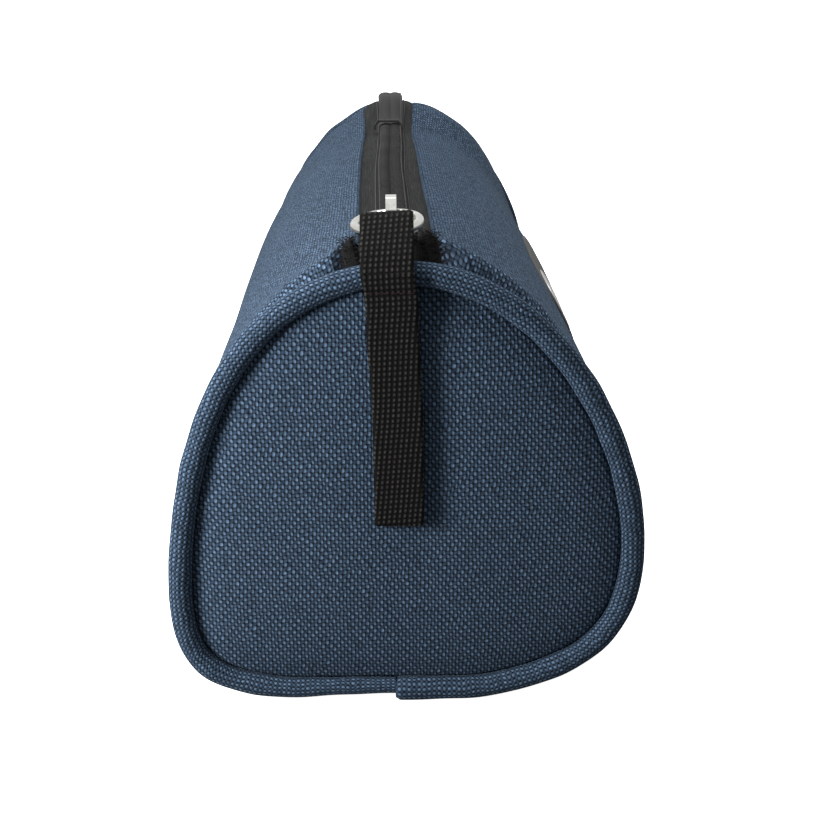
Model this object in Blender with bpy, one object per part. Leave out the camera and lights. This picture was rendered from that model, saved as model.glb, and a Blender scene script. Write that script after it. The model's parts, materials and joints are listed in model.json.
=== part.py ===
"""A soft pencil case: a long pouch of rounded-triangle section, shut by one zip along its ridge.

Frame: +X to the right, +Y from the near end to the far end, +Z up, in metres. The case stands on
its base panel, with the origin on that flat face, under the zip and halfway between the ends.

Two coordinates place almost every piece. "Along" is the distance from the near end's front edge,
towards the far end. "Around" is the distance round the section's outline, clockwise from the zip's
centre line as seen from the near end. A depth is measured inwards from the outline, square to it.
"""

import math

import bmesh
import bpy
import numpy as np
from mathutils import Matrix, Vector

MM = 0.001

# Driving dimensions of the case.
CASE_LENGTH = 212.0 * MM
OUTLINE_CORNERS_MM = (
    (3, 87), (25, 77), (40.4, 55.6), (47, 29), (40.8, 6.4), (12, -2),
    (-15, -1), (-42, 2.6), (-42.3, 29), (-37, 57), (-23, 79),
)
FOLD_HEIGHT = 20.0 * MM
SIDEWAYS_SLOPE = 0.3
DOWNWARDS_SLOPE = 0.95
GAP = 0.3 * MM

# Cloth and trim.
CLOTH = 0.8 * MM
LINING = 0.4 * MM
LINING_GAP = 0.6 * MM
PIPING_RADIUS = 2.15 * MM
PIPING_WALL = 0.55 * MM
PIPING_SLOT_ANGLE = math.radians(38)
CORD_RADIUS = 1.25 * MM
WRAP_DEPTH = 1.3 * MM
WRAP_RIDGE_DEPTH = 0.3 * MM
WRAP_RIDGE_START = 1.6 * MM
WRAP_RIDGE_END = 5.4 * MM
WRAP_START = 2 * PIPING_RADIUS + GAP
WRAP_LIP_DEPTH = 4.4 * MM
BASE_DROP_START = 22.0 * MM
LINING_START = 5.9 * MM
END_FLANGE_DEPTH = 4.7 * MM
END_PANEL_CLOTH = 0.6 * MM
END_PANEL_START = 1.7 * MM
END_FLANGE_LENGTH = 5.3 * MM
END_CROWN = 1.3 * MM
BINDING_WALL = 0.5 * MM
BINDING_START = 5.8 * MM
BINDING_LENGTH = 2.4 * MM

# The zip.
MOUTH_HALF = 7.0 * MM
HEM_WIDTH = 3.4 * MM
TAPE_HALF = 10.0 * MM
TAPE_THICKNESS = 0.6 * MM
TAPE_DEPTH = 2.9 * MM
HEM_DEPTH = TAPE_DEPTH - GAP
COIL_HALF_WIDTH = 3.3 * MM
COIL_HEIGHT = 2.3 * MM
ZIP_CLEARANCE = 0.15 * MM
TAB_LENGTH = 15.0 * MM
TAB_OVERLAP = 0.5 * MM
TAB_HALF_AT_SEAM = 10.0 * MM
TAB_HALF_AT_ZIP = 6.7 * MM
TAB_DEPTH = 1.6 * MM
STOP_ALONG = 168.0 * MM
STOP_LENGTH = 2.4 * MM
STOP_WALL = 0.5 * MM

# The slider, its ring and its strap.
SLIDER_ALONG = 21.0 * MM
SLIDER_LENGTH = 11.0 * MM
SLIDER_HALF_NOSE = 4.9 * MM
SLIDER_HALF_TAIL = 4.5 * MM
SLIDER_PLATE = 1.0 * MM
TAPE_SAG_AT_FLANGE = 0.6 * MM
SLIDER_FLANGE = 1.0 * MM
SLIDER_POST_LENGTH = 2.6 * MM
SLIDER_POST_HALF = 0.9 * MM
CROWN_HALF_WIDTH = 1.0 * MM
CROWN_THICKNESS = 1.0 * MM
CROWN_HEIGHT = 5.3 * MM
RING_RADIUS = 6.15 * MM
RING_WIRE = 0.85 * MM
RING_PIVOT_ALONG = 26.1 * MM
RING_PIVOT_ABOVE_PLATE = 3.1 * MM
RING_DROOP = math.radians(12)
STRAP_WIDTH = 9.4 * MM
STRAP_THICKNESS = 1.0 * MM
STRAP_BOTTOM = 36.0 * MM
STRAP_JOIN_HEIGHT = 77.5 * MM

# The label on the right side.
LABEL_ALONG = 61.0 * MM
LABEL_LENGTH = 56.0 * MM
LABEL_TOP = 66.5 * MM
LABEL_HEIGHT = 20.0 * MM
LABEL_THICKNESS = 0.8 * MM
PLATE_MARGIN = 3.5 * MM
PLATE_LENGTH = 20.0 * MM
PLATE_THICKNESS = 0.5 * MM

# Facets.
CURVE_STEPS = 60
ROUND_STEPS = 44
RING_STEPS = 28
SIDE_STEPS = 11
BASE_STEPS = 16
WIRE_STEPS = 8

COLOURS = {
    "navy_cloth": ((0.045, 0.085, 0.155, 1), 0.9, 0.0),
    "navy_trim": ((0.035, 0.065, 0.12, 1), 0.9, 0.0),
    "lining_cloth": ((0.06, 0.06, 0.065, 1), 0.8, 0.0),
    "white_cord": ((0.75, 0.74, 0.7, 1), 0.9, 0.0),
    "black_tape": ((0.02, 0.02, 0.02, 1), 0.8, 0.0),
    "black_nylon": ((0.03, 0.03, 0.03, 1), 0.45, 0.0),
    "nickel": ((0.72, 0.70, 0.66, 1), 0.25, 1.0),
    "black_webbing": ((0.015, 0.015, 0.015, 1), 0.75, 0.0),
    "label_rubber": ((0.02, 0.02, 0.02, 1), 0.6, 0.0),
    "label_plate": ((0.7, 0.7, 0.7, 1), 0.4, 0.0),
}


class Outline:
    """The section's closed outline: a smooth curve drawn by its corners, cut flat where it rests."""

    def __init__(self, corners_mm):
        points = self.smooth_curve(np.array(corners_mm, float) * MM)
        points[:, 1] = np.maximum(points[:, 1], 0)
        rightwards = (points[:, 0] >= 0) & (np.roll(points[:, 0], 1) < 0)
        top = np.flatnonzero(rightwards & (points[:, 1] > points[:, 1].max() / 2))[0]
        points = np.roll(points, -top, axis=0)
        before, after = points[-1], points[0]
        crossing = before + (after - before) * before[0] / (before[0] - after[0])
        points = np.vstack([crossing, points])
        self.points = np.vstack([points, points[:1]])
        steps = np.linalg.norm(np.diff(self.points, axis=0), axis=1)
        self.around = np.concatenate([[0], np.cumsum(steps)])
        self.length = self.around[-1]
        tangent = np.roll(points, -3, axis=0) - np.roll(points, 3, axis=0)
        normal = np.column_stack([-tangent[:, 1], tangent[:, 0]])
        normal /= np.linalg.norm(normal, axis=1)[:, None]
        self.normal = np.vstack([normal, normal[:1]])
        turning = np.abs(np.diff(np.unwrap(np.arctan2(self.normal[:, 1], self.normal[:, 0]))))
        self.spread_at = np.concatenate([[0], np.cumsum(steps / self.length + turning / math.tau)])

    @staticmethod
    def smooth_curve(corners):
        """Points of the closed uniform cubic B-spline of these corners."""
        t = np.linspace(0, 1, CURVE_STEPS, endpoint=False)[:, None]
        weights = (
            (1 - t) ** 3 / 6,
            (3 * t**3 - 6 * t**2 + 4) / 6,
            (-3 * t**3 + 3 * t**2 + 3 * t + 1) / 6,
            t**3 / 6,
        )
        spans = []
        for first in range(len(corners)):
            span = sum(w * corners[(first + k) % len(corners)] for k, w in enumerate(weights))
            spans.append(span)
        return np.vstack(spans)

    def at(self, around, depth):
        """(x, z) at a distance around the outline and a depth inside it."""
        around = around % self.length
        point = [np.interp(around, self.around, self.points[:, k]) for k in (0, 1)]
        normal = [np.interp(around, self.around, self.normal[:, k]) for k in (0, 1)]
        size = math.hypot(*normal)
        return point[0] - normal[0] / size * depth, point[1] - normal[1] / size * depth

    def under_share(self, around):
        """1 where the outline faces straight down, falling to 0 as it turns up into a side."""
        down = -np.interp(around % self.length, self.around, self.normal[:, 1])
        share = (down - SIDEWAYS_SLOPE) / (DOWNWARDS_SLOPE - SIDEWAYS_SLOPE)
        share = min(1.0, max(0.0, share))
        return share * share * (3 - 2 * share)

    def around_at_height(self, height, right):
        """Distance around to the point at this height, on the right side or the left."""
        half = len(self.points) // 2
        if right:
            below = np.flatnonzero(self.points[:half, 1] < height)[0]
        else:
            below = half + np.flatnonzero(self.points[half:, 1] > height)[0]
        return self.around[below]

    def spread(self, start, end, count):
        """Distances from start to end, closer together where the outline bends more."""
        marks = np.interp([start % self.length, end % self.length], self.around, self.spread_at)
        if end >= self.length:
            marks[1] += self.spread_at[-1]
        marks = np.linspace(marks[0], marks[1], count)
        turns = np.floor(marks / self.spread_at[-1])
        inside = np.interp(marks - turns * self.spread_at[-1], self.spread_at, self.around)
        return inside + turns * self.length


OUTLINE = Outline(OUTLINE_CORNERS_MM)
FOLD_RIGHT = OUTLINE.around_at_height(FOLD_HEIGHT, right=True)
FOLD_LEFT = OUTLINE.around_at_height(FOLD_HEIGHT, right=False)
RIDGE_HEIGHT = OUTLINE.at(0, 0)[1]
TAPE_TOP = RIDGE_HEIGHT - TAPE_DEPTH
COIL_BOTTOM = TAPE_TOP + GAP
PLATE_BOTTOM = COIL_BOTTOM + COIL_HEIGHT + GAP
PLATE_TOP = PLATE_BOTTOM + SLIDER_PLATE


def place(around, along, depth):
    """World position of a point given by its distances around, along and inwards."""
    x, z = OUTLINE.at(around, depth)
    return Vector((x, along - CASE_LENGTH / 2, z))


def material(name):
    """The Principled material of this name, made once."""
    if name in bpy.data.materials:
        return bpy.data.materials[name]
    colour, roughness, metallic = COLOURS[name]
    made = bpy.data.materials.new(name)
    made.use_nodes = True
    made.diffuse_color = colour
    shader = made.node_tree.nodes["Principled BSDF"]
    shader.inputs["Base Color"].default_value = colour
    shader.inputs["Roughness"].default_value = roughness
    shader.inputs["Metallic"].default_value = metallic
    return made


def make_object(name, work, finish, parent, sharp_angle=35):
    """Turns a bmesh in world space into a named object under its body's empty."""
    bmesh.ops.recalc_face_normals(work, faces=work.faces)
    mesh = bpy.data.meshes.new(name)
    work.to_mesh(mesh)
    work.free()
    mesh.shade_smooth()
    mesh.set_sharp_from_angle(angle=math.radians(sharp_angle))
    mesh.materials.append(material(finish))
    made = bpy.data.objects.new(name, mesh)
    bpy.context.collection.objects.link(made)
    mesh.transform(Matrix.Translation(-parent.location))
    made.parent = parent
    return made


def make_body(name, location=(0, 0, 0)):
    """An empty on a body's joint axis. The body's pieces are its children."""
    body = bpy.data.objects.new(name, None)
    body.empty_display_size = 10 * MM
    body.location = location
    bpy.context.collection.objects.link(body)
    return body


def join_rings(work, rings, closed):
    """Skins a row of vertex rings into a tube, capped at its ends unless it closes on itself."""
    pairs = list(zip(rings, rings[1:]))
    if closed:
        pairs.append((rings[-1], rings[0]))
    else:
        work.faces.new(rings[0])
        work.faces.new(list(reversed(rings[-1])))
    for ring, other in pairs:
        skin(work, ring, other)


def skin(work, ring, other):
    """Quads between two rings of the same count."""
    for k in range(len(ring)):
        after = (k + 1) % len(ring)
        work.faces.new((ring[k], other[k], other[after], ring[after]))


def swept(name, profile_at, arounds, finish, parent, closed=False):
    """Sweeps a cross-section of (along, depth) corners around the outline."""
    work = bmesh.new()
    rings = []
    for around in arounds:
        ring = [work.verts.new(place(around, *corner)) for corner in profile_at(around)]
        rings.append(ring)
    join_rings(work, rings, closed)
    return make_object(name, work, finish, parent)


def all_round():
    """Distances round the whole outline, without repeating the first."""
    return OUTLINE.spread(0, OUTLINE.length, ROUND_STEPS + 1)[:-1]


def from_zip(around):
    """How far this place is from the zip's centre line, going the shorter way round."""
    around = around % OUTLINE.length
    return min(around, OUTLINE.length - around)


def wrap_profile(around):
    """The outer cloth's section along the case: lip, ridge beside the piping, and long straight run."""
    beside_zip = max(0.0, min(1.0, (MOUTH_HALF + HEM_WIDTH - from_zip(around)) / HEM_WIDTH))
    near_shift = (TAB_LENGTH - TAB_OVERLAP) * beside_zip
    lip = WRAP_LIP_DEPTH if from_zip(around) > TAPE_HALF + MM else HEM_DEPTH
    drop = WRAP_DEPTH * OUTLINE.under_share(around)
    run_start = BASE_DROP_START - WRAP_START
    ridge_under = WRAP_RIDGE_DEPTH + CLOTH
    outer = (
        (0.0, lip),
        (0.0, ridge_under),
        (CLOTH / 2, WRAP_RIDGE_DEPTH + GAP),
        (WRAP_RIDGE_START, WRAP_RIDGE_DEPTH),
        (WRAP_RIDGE_END, WRAP_DEPTH),
        (run_start, WRAP_DEPTH - drop),
    )
    inner = (
        (run_start, WRAP_DEPTH - drop + CLOTH),
        (WRAP_RIDGE_END, WRAP_DEPTH + CLOTH),
        (WRAP_RIDGE_START + GAP, ridge_under),
        (CLOTH, ridge_under + CLOTH / 2),
        (CLOTH, lip),
    )
    shrink = 1 - near_shift / (BASE_DROP_START * 2)
    near_outer = [(WRAP_START + near_shift + s * shrink, depth) for s, depth in outer]
    near_inner = [(WRAP_START + near_shift + s * shrink, depth) for s, depth in inner]
    far_outer = [(CASE_LENGTH - WRAP_START - s, depth) for s, depth in reversed(outer)]
    far_inner = [(CASE_LENGTH - WRAP_START - s, depth) for s, depth in reversed(inner)]
    return near_outer + far_outer + far_inner + near_inner


def lining_profile(around):
    """The lining lies just inside the outer cloth, clear of its lips."""
    drop = WRAP_DEPTH * OUTLINE.under_share(around)
    outside = WRAP_DEPTH + CLOTH + LINING_GAP
    run = (
        (LINING_START, outside),
        (LINING_START + 4 * MM, outside),
        (BASE_DROP_START, outside - drop),
        (CASE_LENGTH - BASE_DROP_START, outside - drop),
        (CASE_LENGTH - LINING_START - 4 * MM, outside),
        (CASE_LENGTH - LINING_START, outside),
    )
    return list(run) + [(along, depth + LINING) for along, depth in reversed(run)]


def wrap_panels(case, left_side, right_side):
    """The outer cloth and its lining: a base and two sides that part at the lower folds."""
    whole = OUTLINE.length
    hem = MOUTH_HALF + np.linspace(0, HEM_WIDTH, 3)
    clear = MOUTH_HALF + HEM_WIDTH + 0.7 * MM
    base = OUTLINE.spread(FOLD_RIGHT + GAP / 2, FOLD_LEFT - GAP / 2, BASE_STEPS)
    right = OUTLINE.spread(clear, FOLD_RIGHT - GAP / 2, SIDE_STEPS)
    left = OUTLINE.spread(FOLD_LEFT + GAP / 2, whole - clear, SIDE_STEPS)
    spans = (
        ("base", case, base, base),
        ("right_side", right_side, right, np.concatenate([hem, right])),
        ("left_side", left_side, left, np.concatenate([left, whole - hem[::-1]])),
    )
    for side, body, inside, outside in spans:
        swept(f"{side}_panel", wrap_profile, outside, "navy_cloth", body)
        swept(f"{side}_lining", lining_profile, inside, "lining_cloth", body)


def from_end(near, corners):
    """Measures (along, depth) corners from the near end or, mirrored, from the far end."""
    if near:
        return list(corners)
    return [(CASE_LENGTH - along, depth) for along, depth in corners]


def piping_section(radius, start_angle, end_angle, steps):
    """Corners on an arc round the piping's axis. Angle 0 points outwards from the case."""
    corners = []
    for angle in np.linspace(start_angle, end_angle, steps):
        along = PIPING_RADIUS - radius * math.sin(angle)
        corners.append((along, PIPING_RADIUS - radius * math.cos(angle)))
    return corners


def piping(end, near, case):
    """A folded bias strip round a cord. Its inner side is open, where the strip runs into the seam."""
    reach = math.pi - PIPING_SLOT_ANGLE
    cover = piping_section(PIPING_RADIUS, -reach, reach, 9)
    cover += piping_section(PIPING_RADIUS - PIPING_WALL, reach, -reach, 5)
    cover = from_end(near, cover)
    swept(f"{end}_piping_cover", lambda around: cover, all_round(), "navy_trim", case, closed=True)
    cord = from_end(near, piping_section(CORD_RADIUS, 0, math.tau, 7)[:-1])
    swept(f"{end}_piping_cord", lambda around: cord, all_round(), "white_cord", case, closed=True)


def binding(end, near, case):
    """The tape folded over the raw edge of the end seam, inside the case."""
    outer = END_FLANGE_DEPTH - GAP - BINDING_WALL
    inner = END_FLANGE_DEPTH + END_PANEL_CLOTH + GAP + BINDING_WALL
    start, stop = BINDING_START, BINDING_START + BINDING_LENGTH
    corners = (
        (start, outer),
        (stop, outer),
        (stop, inner),
        (start, inner),
        (start, inner - BINDING_WALL),
        (stop - BINDING_WALL, inner - BINDING_WALL),
        (stop - BINDING_WALL, outer + BINDING_WALL),
        (start, outer + BINDING_WALL),
    )
    section = from_end(near, corners)
    swept(f"{end}_seam_binding", lambda around: section, all_round(), "black_tape", case, closed=True)


def dish(name, near, rim, crowns, finish, case):
    """A disc inside the outline, with a turned rim.

    Each rim corner is (along, depth). Each crown is (the rim corner that it starts from, its rings),
    and each of its rings is (share of the way in to the middle, how far it stands out).
    """
    work = bmesh.new()
    centre_x, centre_z = OUTLINE.at(0, OUTLINE.at(0, 0)[1] * 0.55)
    rings = []
    for along, depth in from_end(near, rim):
        rings.append([work.verts.new(place(around, along, depth)) for around in all_round()])
    for first, direction in crowns:
        ring = rings[first]
        for share, rise in direction[:-1]:
            inward = []
            for vert in rings[first]:
                x = vert.co.x + (centre_x - vert.co.x) * share
                z = vert.co.z + (centre_z - vert.co.z) * share
                inward.append(work.verts.new((x, vert.co.y + (-rise if near else rise), z)))
            skin(work, ring, inward)
            ring = inward
        rise = direction[-1][1]
        middle_y = rings[first][0].co.y + (-rise if near else rise)
        middle = work.verts.new((centre_x, middle_y, centre_z))
        for k in range(len(ring)):
            work.faces.new((ring[k], ring[(k + 1) % len(ring)], middle))
    for ring, other in zip(rings, rings[1:]):
        skin(work, ring, other)
    return make_object(name, work, finish, case, sharp_angle=50)


def end_panel(end, near, case):
    """The end's outer cloth, slightly crowned, and its lining. The cloth's rim turns in at the seam."""
    flange_end = END_PANEL_START + END_FLANGE_LENGTH
    inner_depth = END_FLANGE_DEPTH + END_PANEL_CLOTH
    rim = (
        (END_PANEL_START, END_FLANGE_DEPTH + 0.3 * MM),
        (END_PANEL_START + 0.4 * MM, END_FLANGE_DEPTH),
        (flange_end, END_FLANGE_DEPTH),
        (flange_end, inner_depth),
        (END_PANEL_START + END_PANEL_CLOTH, inner_depth),
    )
    crown = ((0.25, END_CROWN * 0.45), (0.6, END_CROWN * 0.85), (1.0, END_CROWN))
    dish(f"{end}_end_panel", near, rim, ((0, crown), (4, crown)), "navy_cloth", case)
    start = END_PANEL_START + END_PANEL_CLOTH + GAP
    depth = inner_depth + GAP
    lining_rim = ((start, depth), (start + LINING, depth))
    shallow = ((0.5, END_CROWN * 0.5), (1.0, END_CROWN * 0.8))
    crowns = ((0, shallow), (1, shallow))
    dish(f"{end}_end_lining", near, lining_rim, crowns, "lining_cloth", case)


def tape_profile(around):
    """Half of the zip's tape. It parts round the slider's post, and meets its twin beyond it."""
    beside_post = from_zip(around) < SLIDER_POST_HALF + GAP
    start = SLIDER_ALONG + SLIDER_POST_LENGTH + GAP if beside_post else LINING_START
    end = CASE_LENGTH - LINING_START
    under = TAPE_DEPTH + TAPE_THICKNESS
    return [(start, TAPE_DEPTH), (end, TAPE_DEPTH), (end, under), (start, under)]


def zip_halves(left_side, right_side):
    """The two tapes, each with its half of the coil standing on it."""
    coil_start = SLIDER_ALONG + SLIDER_POST_LENGTH + GAP
    coil_end = CASE_LENGTH - LINING_START
    middle, half = (coil_start + coil_end) / 2, (coil_end - coil_start) / 2
    edge = SLIDER_POST_HALF + GAP
    for side, body, sign in (("right", right_side, 1), ("left", left_side, -1)):
        arounds = [ZIP_CLEARANCE, edge - 0.05 * MM, edge + 0.1 * MM, 4 * MM, 7 * MM, TAPE_HALF]
        arounds = [sign * around for around in arounds]
        swept(f"{side}_zip_tape", tape_profile, arounds, "black_tape", body)
        inside, outside = sign * ZIP_CLEARANCE, sign * COIL_HALF_WIDTH
        top, bottom = COIL_BOTTOM + COIL_HEIGHT, COIL_BOTTOM
        corners = (
            (inside, bottom),
            (inside, top),
            (sign * 1.9 * MM, top),
            (sign * 2.9 * MM, top - 0.6 * MM),
            (outside, top - 1.4 * MM),
            (outside, bottom),
        )
        section = [Vector((x, middle - CASE_LENGTH / 2, z)) for x, z in corners]
        extruded(f"{side}_zip_coil", section, Vector((0, half, 0)), "black_nylon", body)


def extruded(name, corners, half_width, finish, parent):
    """A prism: the flat outline of these corners, moved both ways by half_width."""
    work = bmesh.new()
    rings = []
    for way in (-1, 1):
        rings.append([work.verts.new(corner + half_width * way) for corner in corners])
    join_rings(work, rings, closed=False)
    return make_object(name, work, finish, parent)


def zip_tab(case):
    """The black cloth that covers the tape's near end and runs into the seam, wider at the seam."""

    def section(around):
        beyond = max(0.0, from_zip(around) - TAB_HALF_AT_ZIP + 0.1 * MM)
        slope = TAB_LENGTH / (TAB_HALF_AT_SEAM - TAB_HALF_AT_ZIP)
        start = WRAP_START + GAP
        end = WRAP_START + TAB_LENGTH + 0.4 * MM - beyond * slope * 0.98
        end = max(end, start + 0.3 * MM)
        under = TAB_DEPTH + CLOTH
        return [(start, TAB_DEPTH), (end, TAB_DEPTH), (end, under), (start, under)]

    sides = np.array([9.9, 8.3, 6.6, 3.5, 0]) * MM
    arounds = [-around for around in sides] + list(reversed(sides[:-1]))
    swept("front_zip_tab", section, arounds, "black_tape", case)


def zip_stop(case):
    """The clip over the coil's far end that stops the slider. It's open towards the tape."""
    inside = COIL_HALF_WIDTH + ZIP_CLEARANCE
    outside = inside + STOP_WALL
    top = COIL_BOTTOM + COIL_HEIGHT + ZIP_CLEARANCE
    bottom = COIL_BOTTOM + 0.3 * MM
    shoulder = 1.0 * MM
    corners = (
        (-outside, bottom),
        (-outside, top - shoulder),
        (-outside + shoulder, top + STOP_WALL),
        (outside - shoulder, top + STOP_WALL),
        (outside, top - shoulder),
        (outside, bottom),
        (inside, bottom),
        (inside, top - shoulder),
        (inside - shoulder, top),
        (shoulder - inside, top),
        (-inside, top - shoulder),
        (-inside, bottom),
    )
    y = STOP_ALONG + STOP_LENGTH / 2 - CASE_LENGTH / 2
    section = [Vector((x, y, z)) for x, z in corners]
    half = Vector((0, STOP_LENGTH / 2, 0))
    extruded("zip_bottom_stop", section, half, "black_nylon", case)


def prism(name, corners, low, high):
    """A helper solid with this (x, along) outline between two heights."""
    work = bmesh.new()
    rings = []
    for z in (low, high):
        rings.append([work.verts.new((x, along - CASE_LENGTH / 2, z)) for x, along in corners])
    join_rings(work, rings, closed=False)
    bmesh.ops.recalc_face_normals(work, faces=work.faces)
    mesh = bpy.data.meshes.new(name)
    work.to_mesh(mesh)
    work.free()
    made = bpy.data.objects.new(name, mesh)
    bpy.context.collection.objects.link(made)
    return made


def crown_arch():
    """The arch over the slider, seen from the side: (along, height above the plate), outer then inner."""
    foot, rise, wall = 0.3 * MM, CROWN_HEIGHT, CROWN_THICKNESS
    start = SLIDER_ALONG + 1.5 * MM
    outer = (
        (0.0, -foot),
        (0.2 * MM, rise - 2.0 * MM),
        (1.6 * MM, rise),
        (4.6 * MM, rise),
        (7.0 * MM, rise - 2.4 * MM),
        (8.0 * MM, -foot),
    )
    inner = (
        (8.0 * MM - wall, -foot),
        (7.0 * MM - wall, rise - 2.8 * MM),
        (4.2 * MM, rise - wall),
        (2.0 * MM, rise - wall),
        (0.2 * MM + wall, rise - 2.2 * MM),
        (wall, -foot),
    )
    points = []
    for along, height in outer + inner:
        points.append((start + along - CASE_LENGTH / 2, PLATE_TOP + height))
    return points


def slider_body(slider):
    """A die-cast slider: two plates joined by a post at the nose, flanges down the sides, and an arch."""
    start, end = SLIDER_ALONG, SLIDER_ALONG + SLIDER_LENGTH
    nose, tail = SLIDER_HALF_NOSE, SLIDER_HALF_TAIL
    plan = (
        (-nose + 2 * MM, start), (nose - 2 * MM, start), (nose, start + 2.5 * MM),
        (tail, end - 1.5 * MM), (tail - 1.2 * MM, end), (-tail + 1.2 * MM, end),
        (-tail, end - 1.5 * MM), (-nose, start + 2.5 * MM),
    )
    lower_top = TAPE_TOP - TAPE_THICKNESS - TAPE_SAG_AT_FLANGE - GAP
    whole = prism("slider_body", plan, PLATE_BOTTOM, PLATE_TOP)
    pieces = [prism("lower_plate", plan, lower_top - SLIDER_PLATE, lower_top)]
    post = (
        (-SLIDER_POST_HALF, start + 0.4 * MM), (SLIDER_POST_HALF, start + 0.4 * MM),
        (SLIDER_POST_HALF * 0.6, start + SLIDER_POST_LENGTH),
        (-SLIDER_POST_HALF * 0.6, start + SLIDER_POST_LENGTH),
    )
    overlap = SLIDER_PLATE / 2
    pieces.append(prism("post", post, lower_top - overlap, PLATE_BOTTOM + overlap))
    for sign in (-1, 1):
        flange = (
            (sign * (nose - SLIDER_FLANGE), start + 2.5 * MM), (sign * nose, start + 2.5 * MM),
            (sign * tail, end - 1.5 * MM), (sign * (tail - SLIDER_FLANGE), end - 1.5 * MM),
        )
        pieces.append(prism("flange", flange, TAPE_TOP + GAP, PLATE_BOTTOM + overlap))
    arch = bmesh.new()
    rings = []
    for x in (-CROWN_HALF_WIDTH, CROWN_HALF_WIDTH):
        rings.append([arch.verts.new((x, y, z)) for y, z in crown_arch()])
    join_rings(arch, rings, closed=False)
    bmesh.ops.recalc_face_normals(arch, faces=arch.faces)
    mesh = bpy.data.meshes.new("crown")
    arch.to_mesh(mesh)
    arch.free()
    crown = bpy.data.objects.new("crown", mesh)
    bpy.context.collection.objects.link(crown)
    pieces.append(crown)
    for piece in pieces:
        piece.hide_render = True
        piece.display_type = "WIRE"
        joined = whole.modifiers.new(piece.name, "BOOLEAN")
        joined.operation = "UNION"
        joined.object = piece
    whole.data.materials.append(material("nickel"))
    shift = Matrix.Translation(-slider.location)
    for piece in [whole] + pieces:
        piece.data.transform(shift)
        piece.parent = slider


def pull_ring(body):
    """A round wire ring whose rear passes under the slider's arch. Its front hangs lower."""
    work = bmesh.new()
    pivot = body.location
    towards = Vector((0, -math.cos(RING_DROOP), -math.sin(RING_DROOP)))
    upwards = Vector((0, -math.sin(RING_DROOP), math.cos(RING_DROOP)))
    middle = pivot + towards * RING_RADIUS
    rings = []
    for turn in np.linspace(0, math.tau, RING_STEPS, endpoint=False):
        outwards = Vector((1, 0, 0)) * math.sin(turn) - towards * math.cos(turn)
        ring = []
        for angle in np.linspace(0, math.tau, WIRE_STEPS, endpoint=False):
            offset = outwards * math.cos(angle) + upwards * math.sin(angle)
            ring.append(work.verts.new(middle + outwards * RING_RADIUS + offset * RING_WIRE))
        rings.append(ring)
    join_rings(work, rings, closed=True)
    make_object("pull_ring", work, "nickel", body)


def strap_path(front_bar):
    """The strap's centre line as (along, height), from the hidden join up through the ring and down."""
    axis_along, axis_height = PIPING_RADIUS, RIDGE_HEIGHT - PIPING_RADIUS
    under_radius = PIPING_RADIUS + GAP + STRAP_THICKNESS / 2
    over_radius = under_radius + STRAP_THICKNESS + GAP
    clear = RING_WIRE + GAP + STRAP_THICKNESS / 2
    corner = np.radians((0, 30, 60, 90))
    path = [(axis_along - under_radius, STRAP_JOIN_HEIGHT)]
    for angle in corner:
        along = axis_along - under_radius * math.cos(angle)
        path.append((along, axis_height + under_radius * math.sin(angle)))
    bar_along, bar_height = front_bar
    path.append((bar_along, bar_height - clear - 0.1 * MM))
    path.append((bar_along + 3.2 * MM, bar_height - clear + 0.5 * MM))
    path.append((bar_along + 5.2 * MM, bar_height + 0.5 * MM))
    path.append((bar_along + 5.7 * MM, bar_height + 2.0 * MM))
    path.append((bar_along + 4.8 * MM, bar_height + 3.1 * MM))
    path.append((bar_along + 3.4 * MM, bar_height + 2.9 * MM))
    path.append((bar_along, bar_height + clear + 0.2 * MM))
    for angle in corner[::-1]:
        along = axis_along - over_radius * math.cos(angle)
        path.append((along, axis_height + over_radius * math.sin(angle)))
    fold_radius = (over_radius - under_radius) / 2
    fold_along = axis_along - (over_radius + under_radius) / 2
    for angle in np.radians((180, 225, 270, 315, 360)):
        along = fold_along + fold_radius * math.cos(angle)
        path.append((along, STRAP_BOTTOM + fold_radius * (1 + math.sin(angle))))
    path.append((fold_along + fold_radius, STRAP_JOIN_HEIGHT - 0.5 * MM))
    return path


def pull_strap(body, front_bar):
    """A strip of webbing threaded through the ring and doubled, hanging down the near end."""
    path = np.array(strap_path(front_bar))
    tangent = np.gradient(path, axis=0)
    normal = np.column_stack([-tangent[:, 1], tangent[:, 0]])
    normal /= np.linalg.norm(normal, axis=1)[:, None]
    work = bmesh.new()
    rings = []
    for (along, height), (n_along, n_height) in zip(path, normal):
        ring = []
        for x_sign, side in ((-1, -1), (1, -1), (1, 1), (-1, 1)):
            y = along + side * n_along * STRAP_THICKNESS / 2 - CASE_LENGTH / 2
            z = height + side * n_height * STRAP_THICKNESS / 2
            ring.append(work.verts.new((x_sign * STRAP_WIDTH / 2, y, z)))
        rings.append(ring)
    join_rings(work, rings, closed=False)
    make_object("pull_webbing", work, "black_webbing", body)


def side_label(right_side):
    """A plain patch on the right side, with a blank raised plate at its near end."""
    top = OUTLINE.around_at_height(LABEL_TOP, right=True)
    label_under = WRAP_DEPTH - GAP
    plate_under = label_under - LABEL_THICKNESS - GAP
    sizes = (
        ("side_label", 0.0, LABEL_LENGTH, label_under, LABEL_THICKNESS, "label_rubber"),
        ("side_label_plate", PLATE_MARGIN, PLATE_LENGTH, plate_under, PLATE_THICKNESS, "label_plate"),
    )
    for name, margin, length, under, thickness, finish in sizes:
        start, end = LABEL_ALONG + margin, LABEL_ALONG + margin + length
        over = under - thickness
        section = [(start, over), (end, over), (end, under), (start, under)]
        arounds = np.linspace(top + margin, top + LABEL_HEIGHT - margin, 4)
        swept(name, lambda around, section=section: section, arounds, finish, right_side)


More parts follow.
